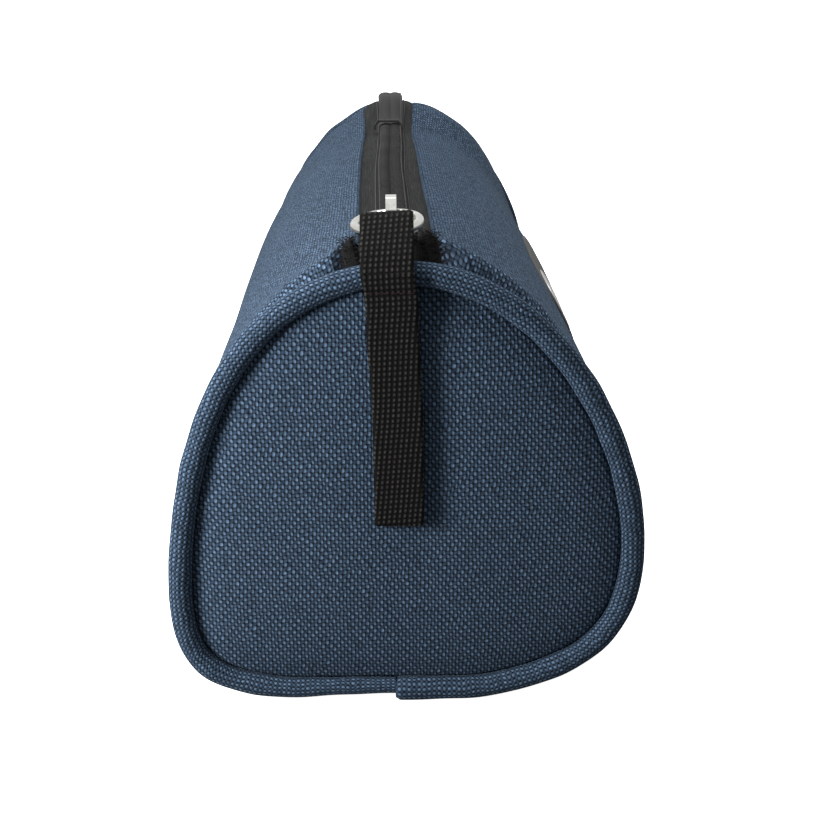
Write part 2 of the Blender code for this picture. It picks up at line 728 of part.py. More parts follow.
def main():
    for old in list(bpy.data.objects):
        bpy.data.objects.remove(old, do_unlink=True)
    case = make_body("case")
    left_side = make_body("left_side", place(FOLD_LEFT, CASE_LENGTH / 2, WRAP_RIDGE_DEPTH))
    right_side = make_body("right_side", place(FOLD_RIGHT, CASE_LENGTH / 2, WRAP_RIDGE_DEPTH))
    slider = make_body("slider", (0, SLIDER_ALONG - CASE_LENGTH / 2, PLATE_TOP))
    pivot_height = PLATE_TOP + RING_PIVOT_ABOVE_PLATE
    ring = make_body("ring", (0, RING_PIVOT_ALONG - CASE_LENGTH / 2, pivot_height))
    bar_along = RING_PIVOT_ALONG - 2 * RING_RADIUS * math.cos(RING_DROOP)
    bar_height = pivot_height - 2 * RING_RADIUS * math.sin(RING_DROOP)
    strap = make_body("strap", (0, bar_along - CASE_LENGTH / 2, bar_height))
    wrap_panels(case, left_side, right_side)
    for end, near in (("front", True), ("rear", False)):
        end_panel(end, near, case)
        piping(end, near, case)
        binding(end, near, case)
    zip_halves(left_side, right_side)
    zip_tab(case)
    zip_stop(case)
    slider_body(slider)
    pull_ring(ring)
    pull_strap(strap, (bar_along, bar_height))
    side_label(right_side)


main()
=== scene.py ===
"""The looks of the pencil case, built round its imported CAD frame.

Two coordinates place the soft pieces, as in the case itself. "Along" is the distance from the near
end's front edge towards the far end. "Around" is the distance round the section's outline, clockwise
from the zip's centre line as seen from the near end. A depth is measured inwards from the outline.
Lengths are in metres, and a texture coordinate is a real length in millimetres.
"""

import json
import math

import bpy
import numpy as np
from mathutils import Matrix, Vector


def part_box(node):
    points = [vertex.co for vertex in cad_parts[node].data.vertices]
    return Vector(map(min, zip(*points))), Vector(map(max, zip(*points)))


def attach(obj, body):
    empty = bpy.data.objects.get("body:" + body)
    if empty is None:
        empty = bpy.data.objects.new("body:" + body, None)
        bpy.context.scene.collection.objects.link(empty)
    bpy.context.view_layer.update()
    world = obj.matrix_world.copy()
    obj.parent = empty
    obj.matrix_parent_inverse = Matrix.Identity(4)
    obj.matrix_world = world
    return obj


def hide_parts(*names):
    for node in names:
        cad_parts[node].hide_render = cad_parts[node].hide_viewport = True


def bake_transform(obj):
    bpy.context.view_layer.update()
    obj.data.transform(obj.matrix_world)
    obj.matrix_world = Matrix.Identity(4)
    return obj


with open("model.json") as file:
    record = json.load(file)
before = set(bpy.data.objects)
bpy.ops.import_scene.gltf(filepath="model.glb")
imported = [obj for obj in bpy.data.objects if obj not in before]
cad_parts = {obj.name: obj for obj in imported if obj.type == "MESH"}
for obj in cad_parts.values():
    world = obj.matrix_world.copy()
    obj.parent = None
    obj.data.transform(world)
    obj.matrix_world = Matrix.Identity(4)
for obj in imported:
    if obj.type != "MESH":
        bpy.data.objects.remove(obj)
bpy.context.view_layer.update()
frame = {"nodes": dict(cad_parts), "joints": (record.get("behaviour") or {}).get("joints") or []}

MM = 0.001

# Cloth.
CLOTH = 0.8 * MM
END_CLOTH = 0.6 * MM
LINING = 0.35 * MM
LINING_GAP = 0.5 * MM
LINING_SLACK = 0.25 * MM
PUCKER = 0.34 * MM
FINE_PUCKER = 0.2 * MM
PUCKER_REACH = 7 * MM
END_CROWN = 0.8 * MM
WEAVE_PITCH_MM = (0.665, 0.76)
BIAS_PITCH_MM = (0.66, 0.66)
LINING_PITCH_MM = (0.35, 0.35)

# Seams. A profile's points are (distance from the end, depth) in mm.
PIPING_RADIUS = 2.15 * MM
PIPING_WALL = 0.55 * MM
PIPING_REACH = math.radians(179.5)
CORD_RADIUS = 0.7 * MM
LAP_THIN = 0.62 * MM
LAP_THICK = 0.14 * MM
WRAP_TURN = (
    (4.65, 4.3), (4.65, 3.2), (4.85, 2.2), (5.3, 1.3), (6.1, 0.6),
    (7.1, 0.15), (8.2, 0.0), (10.0, 0.0), (24.0, 0.0),
)
END_TUCK = ((7.0, 4.75), (4.6, 4.55), (3.7, 4.2), (3.1, 4.15), (2.6, 4.6), (2.2, 5.6), (1.85, 6.9))
BINDING_FOLD = (
    (6.0, 3.9), (5.9, 5.6), (6.1, 6.0), (6.6, 6.2), (7.5, 6.2), (8.0, 6.0),
    (8.2, 5.6), (8.1, 3.9), (7.6, 3.9), (7.6, 5.5), (6.5, 5.5), (6.5, 3.9),
)

# Zip.
MOUTH_HALF = 7.0 * MM
TAPE_HALF = 9.8 * MM
TAPE_THICKNESS = 0.5 * MM
TAPE_DEPTH = 2.9 * MM
TAB_START = 4.9 * MM
TAB_LENGTH = 15.0 * MM
TAB_RIDGE = 9.0 * MM
FLUFF_FIBRES = 420
COIL_PITCH = 1.3 * MM
COIL_WIRE = 0.31 * MM
COIL_MIDDLE = 1.32 * MM
COIL_REACH = 1.87 * MM
COIL_LIFT = 1.3 * MM
COIL_RISE = 0.92 * MM
THREAD_ROWS = ((2.9 * MM, 2.05 * MM), (3.8 * MM, 0.12 * MM))

# How full the case is. Each table gives (distance in mm, value in mm). Depths, mouths and drift go by distance
# along, crests by distance from the zip, and insets by distance around, which is negative on the left.
LEFT_DEPTH = ((24, 1.3), (110, 1.35), (155, 1.35), (197, 0.5))
RIGHT_DEPTH = ((24, 0.95), (110, 0.95), (160, 1.75), (197, 1.1))
LEFT_CREST = ((8, 2.5), (11, 1.7), (14, 1.1), (19, 0.35), (24, -0.35), (34, -0.8), (60, -0.5))
RIGHT_CREST = ((8, 2.3), (12, 1.9), (16, 1.5), (20, 1.1), (26, 0.5), (34, -0.3), (48, -1.0), (80, -0.8))
REAR_INSET = ((-90, 1.0), (-60, 2.6), (-20, 2.6), (0, 0.2), (60, 0.5))
REAR_END_INSET = (
    (-90, 0.0), (-60, 2.4), (-45, 2.1), (-30, 0.9), (-18, -0.9), (-8, -1.3), (8, -0.9), (20, 0.9), (50, 0.0),
)
LEFT_MOUTH = ((40, 7.4), (100, 7.6), (150, 8.2), (190, 7.9))
RIGHT_MOUTH = ((40, 8.05), (100, 7.7), (190, 6.3))
ZIP_DRIFT = ((20, -0.2), (60, -0.25), (100, -0.33), (150, 0.36), (195, 0.85))
ZIP_LIFT = 1.9 * MM
HUMP_HEIGHT = 3.8 * MM
HUMP_PEAK = 18 * MM

# Pull. The middle's table is by distance below the top, and the arch's points are from the ring's near bar.
STRAP_HALF = 4.5 * MM
STRAP_NARROWING = 0.13 * MM
STRAP_THICKNESS = 0.9 * MM
STRAP_MIDDLE = ((0, -1.7), (8, -0.85), (30, 0.1), (44, 0.25))
STRAP_RISE = 1.4 * MM
STRAP_ARCH = (
    (-10.0, 0.2), (-5.0, -0.8), (0.0, -1.4), (2.3, -0.9), (3.3, 0.3), (2.4, 1.4),
    (0.0, 1.5), (-4.0, 2.9), (-7.0, 4.3), (-8.8, 4.85), (-10.7, 5.1),
)
STRAP_JOIN = 77.5 * MM
STITCH_HEIGHT = 79.3 * MM
RING_RADIUS = 5.8 * MM
RING_WIRE = 0.88 * MM
RING_SHIFT = -1.5 * MM
RING_DROP = 1.1 * MM
RING_TILT = math.radians(5)
RING_ROLL = math.radians(4.5)
STRAP_ROLL = math.radians(2.6)
SLIDER_SHIFT = -0.75 * MM
WEBBING_COLUMN_MM = 0.92
WEBBING_ROW_MM = 0.94
WEBBING_COLUMN_SLANT = 0.1
WEBBING_ROW_SLANT = 0.06

# Label: lift off the cloth, thickness and corner.
LABEL_PATCH = (0.02 * MM, 0.4 * MM, 3.5 * MM)
LABEL_PLATE = (0.38 * MM, 0.2 * MM, 2.5 * MM)

# Colours of the threads.
NAVY_PALE = (0.15, 0.235, 0.36)
NAVY_MIDDLE = (0.075, 0.12, 0.19)
NAVY_DARK = (0.036, 0.06, 0.095)
NAVY_SHADE = (0.018, 0.03, 0.05)
# Near black for the weave's open gaps, and painted shade where the threads sink under crossings and round
# their edges.
NAVY_GAP_SHADE = (0.003, 0.004, 0.006)
TAPE_PALE = (0.04, 0.042, 0.041)
TAPE_DARK = (0.014, 0.015, 0.0145)
FLUFF = (0.012, 0.012, 0.013)
COIL_BLACK = (0.007, 0.007, 0.007)
THREAD_GREY = (0.05, 0.05, 0.049)
THREAD_BLACK = (0.012, 0.006, 0.006)
WEBBING_PALE = (0.055, 0.053, 0.05)
WEBBING_YARN = (0.02, 0.0195, 0.019)
# The ground weave between the surfaced yarns, darkened to near black as painted shade where the yarns sink.
WEBBING_GROUND_SHADE = (0.003, 0.003, 0.003)

# Light.
AMBIENT = 0.11
SKY_PANEL = 4.0
NEAR_LEFT = 0.62
NEAR_LEFT_PLACE = (-0.17, -0.2, 0.105)
NEAR_LEFT_SIZE = 0.08
NEAR_LEFT_AIM = (0, -0.1, 0.05)
FLOOR_GLOW = 1.0
FLOOR_REACH = 6.0
SKY_DIRECTION = (-0.22, 0.12, 0.95)
BOUNCE_SHADE = 0.2

# The camera stands in front of the near end, above it, and looks down along the zip.
CAMERA_DISTANCE = 223.9 * MM
CAMERA_HEIGHT = 138.1 * MM
CAMERA_SIDE = -3.2 * MM
CAMERA_HEADING = math.radians(1.26)
CAMERA_PITCH = math.radians(19.56)
CAMERA_LENS = 60.96


# ---------------------------------------------------------------- places read from the frame


def hull(points):
    """The convex outline of some (x, z) points, clockwise."""
    ordered = sorted(map(tuple, points))

    def chain(run):
        kept = []
        for point in run:
            while len(kept) > 1:
                (ax, az), (bx, bz) = kept[-2], kept[-1]
                turn = (bx - ax) * (point[1] - az) - (bz - az) * (point[0] - ax)
                if turn < 0:
                    break
                kept.pop()
            kept.append(point)
        return kept[:-1]

    return np.array(chain(ordered) + chain(ordered[::-1]))


def travelled(points):
    """The distance run along a path at each of its points."""
    return np.concatenate([[0], np.cumsum(np.linalg.norm(np.diff(points, axis=0), axis=1))])


def unit(vectors):
    """The vectors, each made one long."""
    return vectors / np.linalg.norm(vectors, axis=1)[:, None]


def resampled(points, count):
    """A closed outline's points, evenly spaced."""
    closed = np.vstack([points, points[:1]])
    lengths = travelled(closed)
    marks = np.linspace(0, lengths[-1], count, endpoint=False)
    return np.column_stack([np.interp(marks, lengths, closed[:, k]) for k in (0, 1)])


def rounded(points, reach, passes=3):
    """A closed outline with each point averaged over its neighbours within reach, to round its facets."""
    for _ in range(passes):
        points = np.mean([np.roll(points, step, axis=0) for step in range(-reach, reach + 1)], axis=0)
    return points


def smooth(value, start, end):
    """0 before start, 1 after end, and a smooth rise between them."""
    share = np.clip((value - start) / (end - start), 0, 1)
    return share * share * (3 - 2 * share)


def between(value, start, full, fading, end):
    """0 outside start and end, 1 from full to fading, and smooth between them."""
    return smooth(value, start, full) * (1 - smooth(value, fading, end))


def stations(value, table):
    """Reads a table of (distance in mm, value in mm) smoothly, holding its first and last values."""
    value = np.asarray(value) / MM
    total = np.full(np.shape(value), float(table[0][1]))
    for (start, before), (end, after) in zip(table, table[1:]):
        total = total + (after - before) * smooth(value, start, end)
    return total * MM


class Section:
    """The case's outline, read from the outer edge of the piping on the near end."""

    COUNT = 2400

    def __init__(self, node, far_node):
        low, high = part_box(node)
        middle = (low.y + high.y) / 2
        far_low, far_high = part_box(far_node)
        self.case_length = (far_low.y + far_high.y) / 2 + 2 * PIPING_RADIUS - middle
        places = np.array([v.co for v in frame["nodes"][node].data.vertices])
        on_edge = places[np.abs(places[:, 1] - middle) < 0.1 * MM]
        points = resampled(hull(on_edge[:, [0, 2]]), self.COUNT)
        points = rounded(points, self.COUNT // 160)
        rightwards = (points[:, 0] >= 0) & (np.roll(points[:, 0], 1) < 0)
        top = np.flatnonzero(rightwards & (points[:, 1] > points[:, 1].max() / 2))[0]
        points = np.roll(points, -top, axis=0)
        self.near_edge = middle - PIPING_RADIUS
        self.points = np.vstack([points, points[:1]])
        self.marks = travelled(self.points)
        self.length = self.marks[-1]
        tangent = np.roll(points, -4, axis=0) - np.roll(points, 4, axis=0)
        normal = unit(np.column_stack([-tangent[:, 1], tangent[:, 0]]))
        self.normals = np.vstack([normal, normal[:1]])

    def place(self, around, along, depth):
        """World positions for arrays of distances around, along and inwards."""
        around, along, depth = np.broadcast_arrays(around, along, depth)
        wrapped = np.mod(around, self.length)
        x, z = (np.interp(wrapped, self.marks, self.points[:, k]) for k in (0, 1))
        nx, nz = (np.interp(wrapped, self.marks, self.normals[:, k]) for k in (0, 1))
        size = np.hypot(nx, nz)
        signed = self.from_zip(around)
        inset = stations(signed, REAR_INSET) * smooth(along, 120 * MM, 200 * MM)
        inset = inset + stations(signed, REAR_END_INSET) * smooth(along, 190 * MM, 206 * MM)
        depth = depth + inset * (1 - self.facing_down(around))
        beside = 1 - smooth(np.abs(signed), 10 * MM, 40 * MM)
        drift = stations(along, ZIP_DRIFT) * smooth(along, 5 * MM, 20 * MM) * beside
        x, z = x + drift - nx / size * depth, z - nz / size * depth
        return np.stack([x, self.near_edge + along, z], axis=-1)

    def from_zip(self, around):
        """Distance round the outline from the zip's centre, positive to the right."""
        wrapped = np.mod(around, self.length)
        return np.where(wrapped > self.length / 2, wrapped - self.length, wrapped)

    def facing_down(self, around):
        """1 where the outline faces straight down, falling to 0 on the sides."""
        down = -np.interp(np.mod(around, self.length), self.marks, self.normals[:, 1])
        return smooth(down, 0.3, 0.95)

    def around_at_height(self, height, right):
        """Distance around to the point at this height, on the right side or the left."""
        half = len(self.points) // 2
        if right:
            return self.marks[np.flatnonzero(self.points[:half, 1] < height)[0]]
        return self.marks[half + np.flatnonzero(self.points[half:, 1] > height)[0]]

    def bottom(self):
        """Distance around to the bottom, straight below the zip."""
        lower = np.flatnonzero((self.points[:, 1] < 0.3 * self.points[0, 1]) & (self.points[:, 0] < 0))
        return self.marks[lower[0]]


SECTION = Section("front_piping_cover", "rear_piping_cover")
LENGTH = SECTION.case_length
FOLD_RIGHT = SECTION.around_at_height(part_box("right_side_panel")[0].z, right=True)
FOLD_LEFT = SECTION.around_at_height(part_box("left_side_panel")[0].z, right=False)
MOUTH_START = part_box("slider_body")[0].y - SECTION.near_edge
MOUTH_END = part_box("zip_bottom_stop")[0].y - SECTION.near_edge
MOUTH_MIDDLE = (MOUTH_START + MOUTH_END) / 2


# ---------------------------------------------------------------- making meshes


def link(name, data):
    """Puts new data in the scene, as an object."""
    made = bpy.data.objects.new(name, data)
    bpy.context.scene.collection.objects.link(made)
    return made


def new_piece(name, vertices, faces, uvs, material, sharp_angle=40):
    """A named mesh object with a real-scale texture coordinate in millimetres."""
    mesh = bpy.data.meshes.new(name)
    mesh.from_pydata(vertices.tolist(), [], faces)
    layer = mesh.uv_layers.new(name="cloth_mm")
    loops = np.empty(len(mesh.loops), np.int32)
    mesh.loops.foreach_get("vertex_index", loops)
    layer.data.foreach_set("uv", uvs[loops].astype(np.float32).ravel())
    mesh.materials.append(material)
    mesh.shade_smooth()
    mesh.set_sharp_from_angle(angle=math.radians(sharp_angle))
    mesh.validate()
    return link(name, mesh)


def belongs(piece, node=None, body="case"):
    """Hides the CAD node that a piece replaces, and hangs the piece on the body that it rides on."""
    if node:
        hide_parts(node)
    if body:
        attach(piece, body)
    return piece


def grid_faces(rows, columns, first, flip=False, close_rows=False, close_columns=False):
    """Quads over a grid of vertices numbered row by row."""
    faces = []
    for row in range(rows if close_rows else rows - 1):
        for column in range(columns if close_columns else columns - 1):
            right = (column + 1) % columns
            below = (row + 1) % rows
            quad = (
                first + row * columns + column,
                first + row * columns + right,
                first + below * columns + right,
                first + below * columns + column,
            )
            faces.append(quad[::-1] if flip else quad)
    return faces


def sheet(name, outer, inner, uvs, material):
    """A closed sheet of cloth: an outer and an inner grid of points, joined at their rims."""
    rows, columns = outer.shape[:2]
    count = rows * columns
    vertices = np.concatenate([outer.reshape(-1, 3), inner.reshape(-1, 3)])
    faces = grid_faces(rows, columns, 0, flip=True) + grid_faces(rows, columns, count)
    rim = list(range(columns))
    rim += [row * columns + columns - 1 for row in range(1, rows)]
    rim += [(rows - 1) * columns + column for column in range(columns - 2, -1, -1)]
    rim += [row * columns for row in range(rows - 2, 0, -1)]
    for first, second in zip(rim, rim[1:] + rim[:1]):
        faces.append((first, second, second + count, first + count))
    flat = uvs.reshape(-1, 2)
    return new_piece(name, vertices, faces, np.concatenate([flat, flat]), material)


def tube(name, path, radii, sides, material, ups=(0.0, 0.0, 1.0), closed=False):
    """A tube along a path. radii is (across, up), and ups is the way up, each for all points or for each."""
    count = len(path)
    if closed:
        tangent = np.roll(path, -1, axis=0) - np.roll(path, 1, axis=0)
    else:
        tangent = np.gradient(path, axis=0)
    tangent = unit(tangent)
    across = unit(np.cross(tangent, np.broadcast_to(ups, (count, 3))))
    ups = np.cross(across, tangent)
    turn = np.linspace(0, math.tau, sides, endpoint=False)
    radii = np.broadcast_to(radii, (count, 2))
    offsets = (
        across[:, None, :] * (np.cos(turn)[None, :, None] * radii[:, None, :1])
        + ups[:, None, :] * (np.sin(turn)[None, :, None] * radii[:, None, 1:])
    )
    vertices = (path[:, None, :] + offsets).reshape(-1, 3)
    faces = grid_faces(count, sides, 0, flip=True, close_rows=closed, close_columns=True)
    if not closed:
        faces.append(tuple(range(sides)))
        faces.append(tuple((count - 1) * sides + k for k in reversed(range(sides))))
    u = np.broadcast_to(turn / math.tau, (count, sides))
    v = np.broadcast_to(travelled(path)[:, None] / MM, (count, sides))
    uvs = np.stack([u, v], axis=-1).reshape(-1, 2)
    return new_piece(name, vertices, faces, uvs, material)


def joined(name, pieces):
    """Joins several meshes into the first, under one name."""
    with bpy.context.temp_override(
        active_object=pieces[0], selected_editable_objects=pieces, object=pieces[0]
    ):
        bpy.ops.object.join()
    pieces[0].name = name
    pieces[0].data.name = name
    return pieces[0]


def catmull_rom(points, spacing):
    """A smooth curve through some points, resampled at an even spacing."""
    points = np.array(points, float)
    ends = np.vstack([2 * points[0] - points[1], points, 2 * points[-1] - points[-2]])
    t = np.linspace(0, 1, 24, endpoint=False)[:, None]
    runs = []
    for a, b, c, d in zip(ends, ends[1:], ends[2:], ends[3:]):
        run = 2 * b + (c - a) * t + (2 * a - 5 * b + 4 * c - d) * t**2
        runs.append((run + (3 * b - a - 3 * c + d) * t**3) / 2)
    curve = np.vstack(runs + [points[-1:]])
    lengths = travelled(curve)
    count = max(2, int(round(lengths[-1] / spacing)) + 1)
    marks = np.linspace(0, lengths[-1], count)
    return np.column_stack([np.interp(marks, lengths, curve[:, k]) for k in range(points.shape[1])])


def ripples(u, v, wavelength, seed, waves=7):
    """A smooth uneven surface between about -1 and 1, the same on every run."""
    random = np.random.default_rng(seed)
    total = np.zeros(np.broadcast(u, v).shape)
    for _ in range(waves):
        heading = random.uniform(0, math.tau)
        stretch = random.uniform(0.7, 1.5)
        phase = random.uniform(0, math.tau)
        total += np.sin(
            (u * math.cos(heading) + v * math.sin(heading)) * math.tau * stretch / wavelength + phase
        )
    return total / math.sqrt(waves * 2)


# ---------------------------------------------------------------- materials


class Nodes:
    """A short way to build one material's nodes."""

    def __init__(self, name):
        self.material = bpy.data.materials.new(name)
        self.material.use_nodes = True
        self.tree = self.material.node_tree
        self.shader = self.tree.nodes["Principled BSDF"]

    def add(self, kind, **settings):
        node = self.tree.nodes.new(kind)
        for key, value in settings.items():
            setattr(node, key, value)
        return node

    def put(self, value, socket):
        """Links a socket to a socket, or sets a plain value."""
        if isinstance(value, bpy.types.NodeSocket):
            self.tree.links.new(value, socket)
        else:
            socket.default_value = value

    def filled(self, node, *values):
        """Puts values in a node's first inputs, and gives its first output."""
        for value, socket in zip(values, node.inputs):
            self.put(value, socket)
        return node.outputs[0]

    def math(self, operation, first, second=0.0, third=0.0):
        return self.filled(self.add("ShaderNodeMath", operation=operation), first, second, third)

    def times(self, first, second):
        return self.math("MULTIPLY", first, second)

    def plus(self, first, second):
        return self.math("ADD", first, second)

    def minus(self, first, second):
        return self.math("SUBTRACT", first, second)

    def wave(self, value, half_period):
        """A sine that crosses zero once in each half period."""
        return self.math("SINE", self.times(value, math.pi / half_period))

    def mix(self, share, first, second):
        """A colour between two, by share."""
        node = self.add("ShaderNodeMix", data_type="RGBA")
        self.put(share, node.inputs["Factor"])
        for value, socket in ((first, node.inputs["A"]), (second, node.inputs["B"])):
            self.put((*value, 1) if isinstance(value, tuple) else value, socket)
        return node.outputs["Result"]

    def split(self, place):
        """A vector's three parts."""
        node = self.add("ShaderNodeSeparateXYZ")
        self.put(place, node.inputs[0])
        return tuple(node.outputs)

    def cloth_mm(self):
        """The real-scale texture coordinate, as its two lengths."""
        return self.split(self.add("ShaderNodeUVMap", uv_map="cloth_mm").outputs["UV"])[:2]

    def joined(self, x, y, z=0.0):
        return self.filled(self.add("ShaderNodeCombineXYZ"), x, y, z)

    def noise(self, place, scale, detail=2.0, roughness=0.5):
        node = self.add("ShaderNodeTexNoise")
        if place is not None:
            self.put(place, node.inputs["Vector"])
        node.inputs["Scale"].default_value = scale
        node.inputs["Detail"].default_value = detail
        node.inputs["Roughness"].default_value = roughness
        return node.outputs["Fac"]

    def bump(self, height, distance, strength=1.0):
        node = self.add("ShaderNodeBump")
        self.put(height, node.inputs["Height"])
        node.inputs["Distance"].default_value = distance
        node.inputs["Strength"].default_value = strength
        self.put(node.outputs[0], self.shader.inputs["Normal"])

    def range(self, value, low, high, to_low, to_high):
        return self.filled(self.add("ShaderNodeMapRange"), value, low, high, to_low, to_high)

    def finish(self, colour, roughness, metallic=0.0, specular=0.5, sheen=0.0, sheen_tint=(1, 1, 1)):
        self.put(colour if not isinstance(colour, tuple) else (*colour, 1), self.shader.inputs["Base Color"])
        self.put(roughness, self.shader.inputs["Roughness"])
        self.shader.inputs["Metallic"].default_value = metallic
        self.shader.inputs["Sheen Weight"].default_value = sheen
        self.shader.inputs["Sheen Roughness"].default_value = 0.45
        self.shader.inputs["Sheen Tint"].default_value = (*sheen_tint, 1)
        self.shader.inputs["Specular IOR Level"].default_value = specular
        return self.material


def plain_weave(nodes, pitch_mm, turned=0.0):
    """A plain weave's thread height, which thread lies on top, and a random tone along each thread.

    pitch_mm is the spacing of the threads across and along. Every other diagonal of crossings stands lower.
    """
    u, v = nodes.cloth_mm()
    if turned:
        c, s = math.cos(turned), math.sin(turned)
        across = nodes.plus(nodes.times(u, c), nodes.times(v, -s))
        u, v = across, nodes.plus(nodes.times(u, s), nodes.times(v, c))
    uneven = nodes.noise(nodes.joined(u, v), 0.3, detail=1.0)
    sway = nodes.times(nodes.minus(uneven, 0.5), 1.2)
    u = nodes.plus(nodes.math("DIVIDE", u, pitch_mm[0]), sway)
    v = nodes.plus(nodes.math("DIVIDE", v, pitch_mm[1]), sway)
    column, row = nodes.math("FLOOR", u), nodes.math("FLOOR", v)
    from_warp = nodes.minus(nodes.minus(u, column), 0.5)
    from_weft = nodes.minus(nodes.minus(v, row), 0.5)
    parity = nodes.math("FLOORED_MODULO", nodes.plus(column, row), 2.0)
    over = nodes.math("MULTIPLY_ADD", parity, -2.0, 1.0)
    warp = thread_height(nodes, from_warp, from_weft, over)
    weft = thread_height(nodes, from_weft, from_warp, nodes.times(over, -1.0))
    diagonal = nodes.math("COSINE", nodes.times(nodes.plus(u, v), math.pi))
    stands = nodes.math("MULTIPLY_ADD", diagonal, -0.2, 0.8)
    height = nodes.times(nodes.math("MAXIMUM", warp, weft), stands)
    warp_on_top = nodes.math("GREATER_THAN", warp, weft)
    warp_tone = nodes.noise(nodes.joined(nodes.times(column, 7.31), nodes.times(v, 0.6)), 1.0, detail=3.0)
    weft_tone = nodes.noise(nodes.joined(nodes.times(u, 0.6), nodes.times(row, 5.17), 9.0), 1.0, detail=3.0)
    warp_share = nodes.times(warp_on_top, warp_tone)
    weft_share = nodes.times(nodes.minus(1.0, warp_on_top), weft_tone)
    return height, warp_on_top, nodes.plus(warp_share, weft_share)


def thread_height(nodes, from_middle, from_crossing, over):
    """Height from 0 to 1 of one thread: rounded across, and rising over or dipping under each crossing."""
    across = nodes.math("DIVIDE", from_middle, 0.47)
    inside = nodes.math("MAXIMUM", nodes.minus(1.0, nodes.times(across, across)), 0.0)
    crossing = nodes.math("COSINE", nodes.times(from_crossing, math.pi))
    wave = nodes.math("MULTIPLY_ADD", nodes.times(crossing, over), 0.5, 0.5)
    return nodes.times(nodes.math("SQRT", inside), wave)


def navy_cloth(name, pitch_mm, spread, turned=0.0):
    """Coarse polyester in a navy plain weave. A small spread gives starker pale and dark threads."""
    nodes = Nodes(name)
    height, warp_on_top, tone = plain_weave(nodes, pitch_mm, turned)
    tone = nodes.range(tone, 0.5 - spread, 0.5 + spread, 0, 1)
    warp = nodes.mix(tone, NAVY_DARK, NAVY_PALE)
    weft = nodes.mix(tone, NAVY_SHADE, NAVY_MIDDLE)
    thread = nodes.mix(warp_on_top, weft, warp)
    # Threads fade to near black as they sink: the open gaps, and painted shade in the weave's hollows.
    colour = nodes.mix(nodes.range(height, 0.2, 0.75, 0, 1), NAVY_GAP_SHADE, thread)
    nodes.bump(height, 0.2 * MM, 0.9)
    return nodes.finish(colour, 0.9, specular=0.07, sheen=0.07, sheen_tint=(0.62, 0.78, 1.0))


def lining_cloth():
    """Thin dark nylon lining with a fine weave."""
    nodes = Nodes("lining_cloth_fine")
    height, _, tone = plain_weave(nodes, LINING_PITCH_MM)
    colour = nodes.mix(tone, (0.028, 0.03, 0.034), (0.075, 0.08, 0.088))
    nodes.bump(height, 0.05 * MM, 0.6)
    return nodes.finish(colour, 0.7, specular=0.2, sheen=0.1)


def tape_cloth(name, dark, pale):
    """Black woven zip tape with fine ribs along its length."""
    nodes = Nodes(name)
    u, v = nodes.cloth_mm()
    ribs = nodes.math("ABSOLUTE", nodes.wave(u, 0.42))
    twill = nodes.math("ABSOLUTE", nodes.wave(nodes.plus(nodes.times(u, 1.6), v), 0.36))
    height = nodes.times(nodes.math("POWER", ribs, 0.5), nodes.math("POWER", twill, 0.5))
    tone = nodes.noise(nodes.joined(nodes.times(u, 2.2), nodes.times(v, 0.12)), 1.0)
    colour = nodes.mix(nodes.range(tone, 0.3, 0.7, 0, 1), dark, pale)
    # Near black where the ribs sink: painted shade in the hollows between the ribs.
    colour = nodes.mix(nodes.range(height, 0.2, 0.8, 0, 1), (0.004, 0.004, 0.004), colour)
    nodes.bump(height, 0.08 * MM, 0.7)
    return nodes.finish(colour, 0.85, specular=0.12)


def grained(name, scale, detail, dark, pale, depth, strength):
    """The nodes, the grain and the colour of a plain material with a fine grain."""
    nodes = Nodes(name)
    grain = nodes.noise(None, scale, detail=detail)
    nodes.bump(grain, depth, strength)
    return nodes, grain, nodes.mix(grain, dark, pale)


def nylon(name, colour, roughness):
    """Drawn nylon with a slightly uneven gloss."""
    dark, pale = tuple(c * 0.7 for c in colour), tuple(c * 1.3 for c in colour)
    nodes, grain, shade = grained(name, 900.0, 3.0, dark, pale, 0.03 * MM, 0.4)
    return nodes.finish(shade, nodes.range(grain, 0, 1, roughness - 0.1, roughness + 0.12), specular=0.12)


def cord_cotton():
    """Fluffy cotton cord."""
    nodes, _, colour = grained(
        "cotton_cord_twist", 1500.0, 3.0, (0.55, 0.54, 0.5), (0.82, 0.81, 0.77), 0.1 * MM, 0.6
    )
    return nodes.finish(colour, 0.9)


def label_rubber():
    """Matt black moulded patch with a fine leathery grain."""
    nodes, grain, colour = grained(
        "label_patch_grain", 1400.0, 4.0, (0.012, 0.012, 0.013), (0.035, 0.035, 0.036), 0.08 * MM, 0.6
    )
    return nodes.finish(colour, nodes.range(grain, 0.3, 0.7, 0.5, 0.75))


def nickel():
    """Polished nickel plate, with fine scratches and faint cloudy wear."""
    nodes = Nodes("nickel_plate")
    place = nodes.add("ShaderNodeTexCoord").outputs["Object"]
    clouds = nodes.noise(place, 350.0, detail=4.0)
    x, y, z = nodes.split(place)
    stretched = nodes.joined(nodes.times(x, 300.0), nodes.times(y, 5000.0), nodes.times(z, 5000.0))
    scratches = nodes.noise(stretched, 1.0, detail=2.0)
    colour = nodes.mix(clouds, (0.48, 0.48, 0.45), (0.62, 0.62, 0.59))
    nodes.bump(scratches, 0.01 * MM, 0.5)
    return nodes.finish(colour, nodes.range(clouds, 0.3, 0.7, 0.16, 0.34), metallic=1.0)


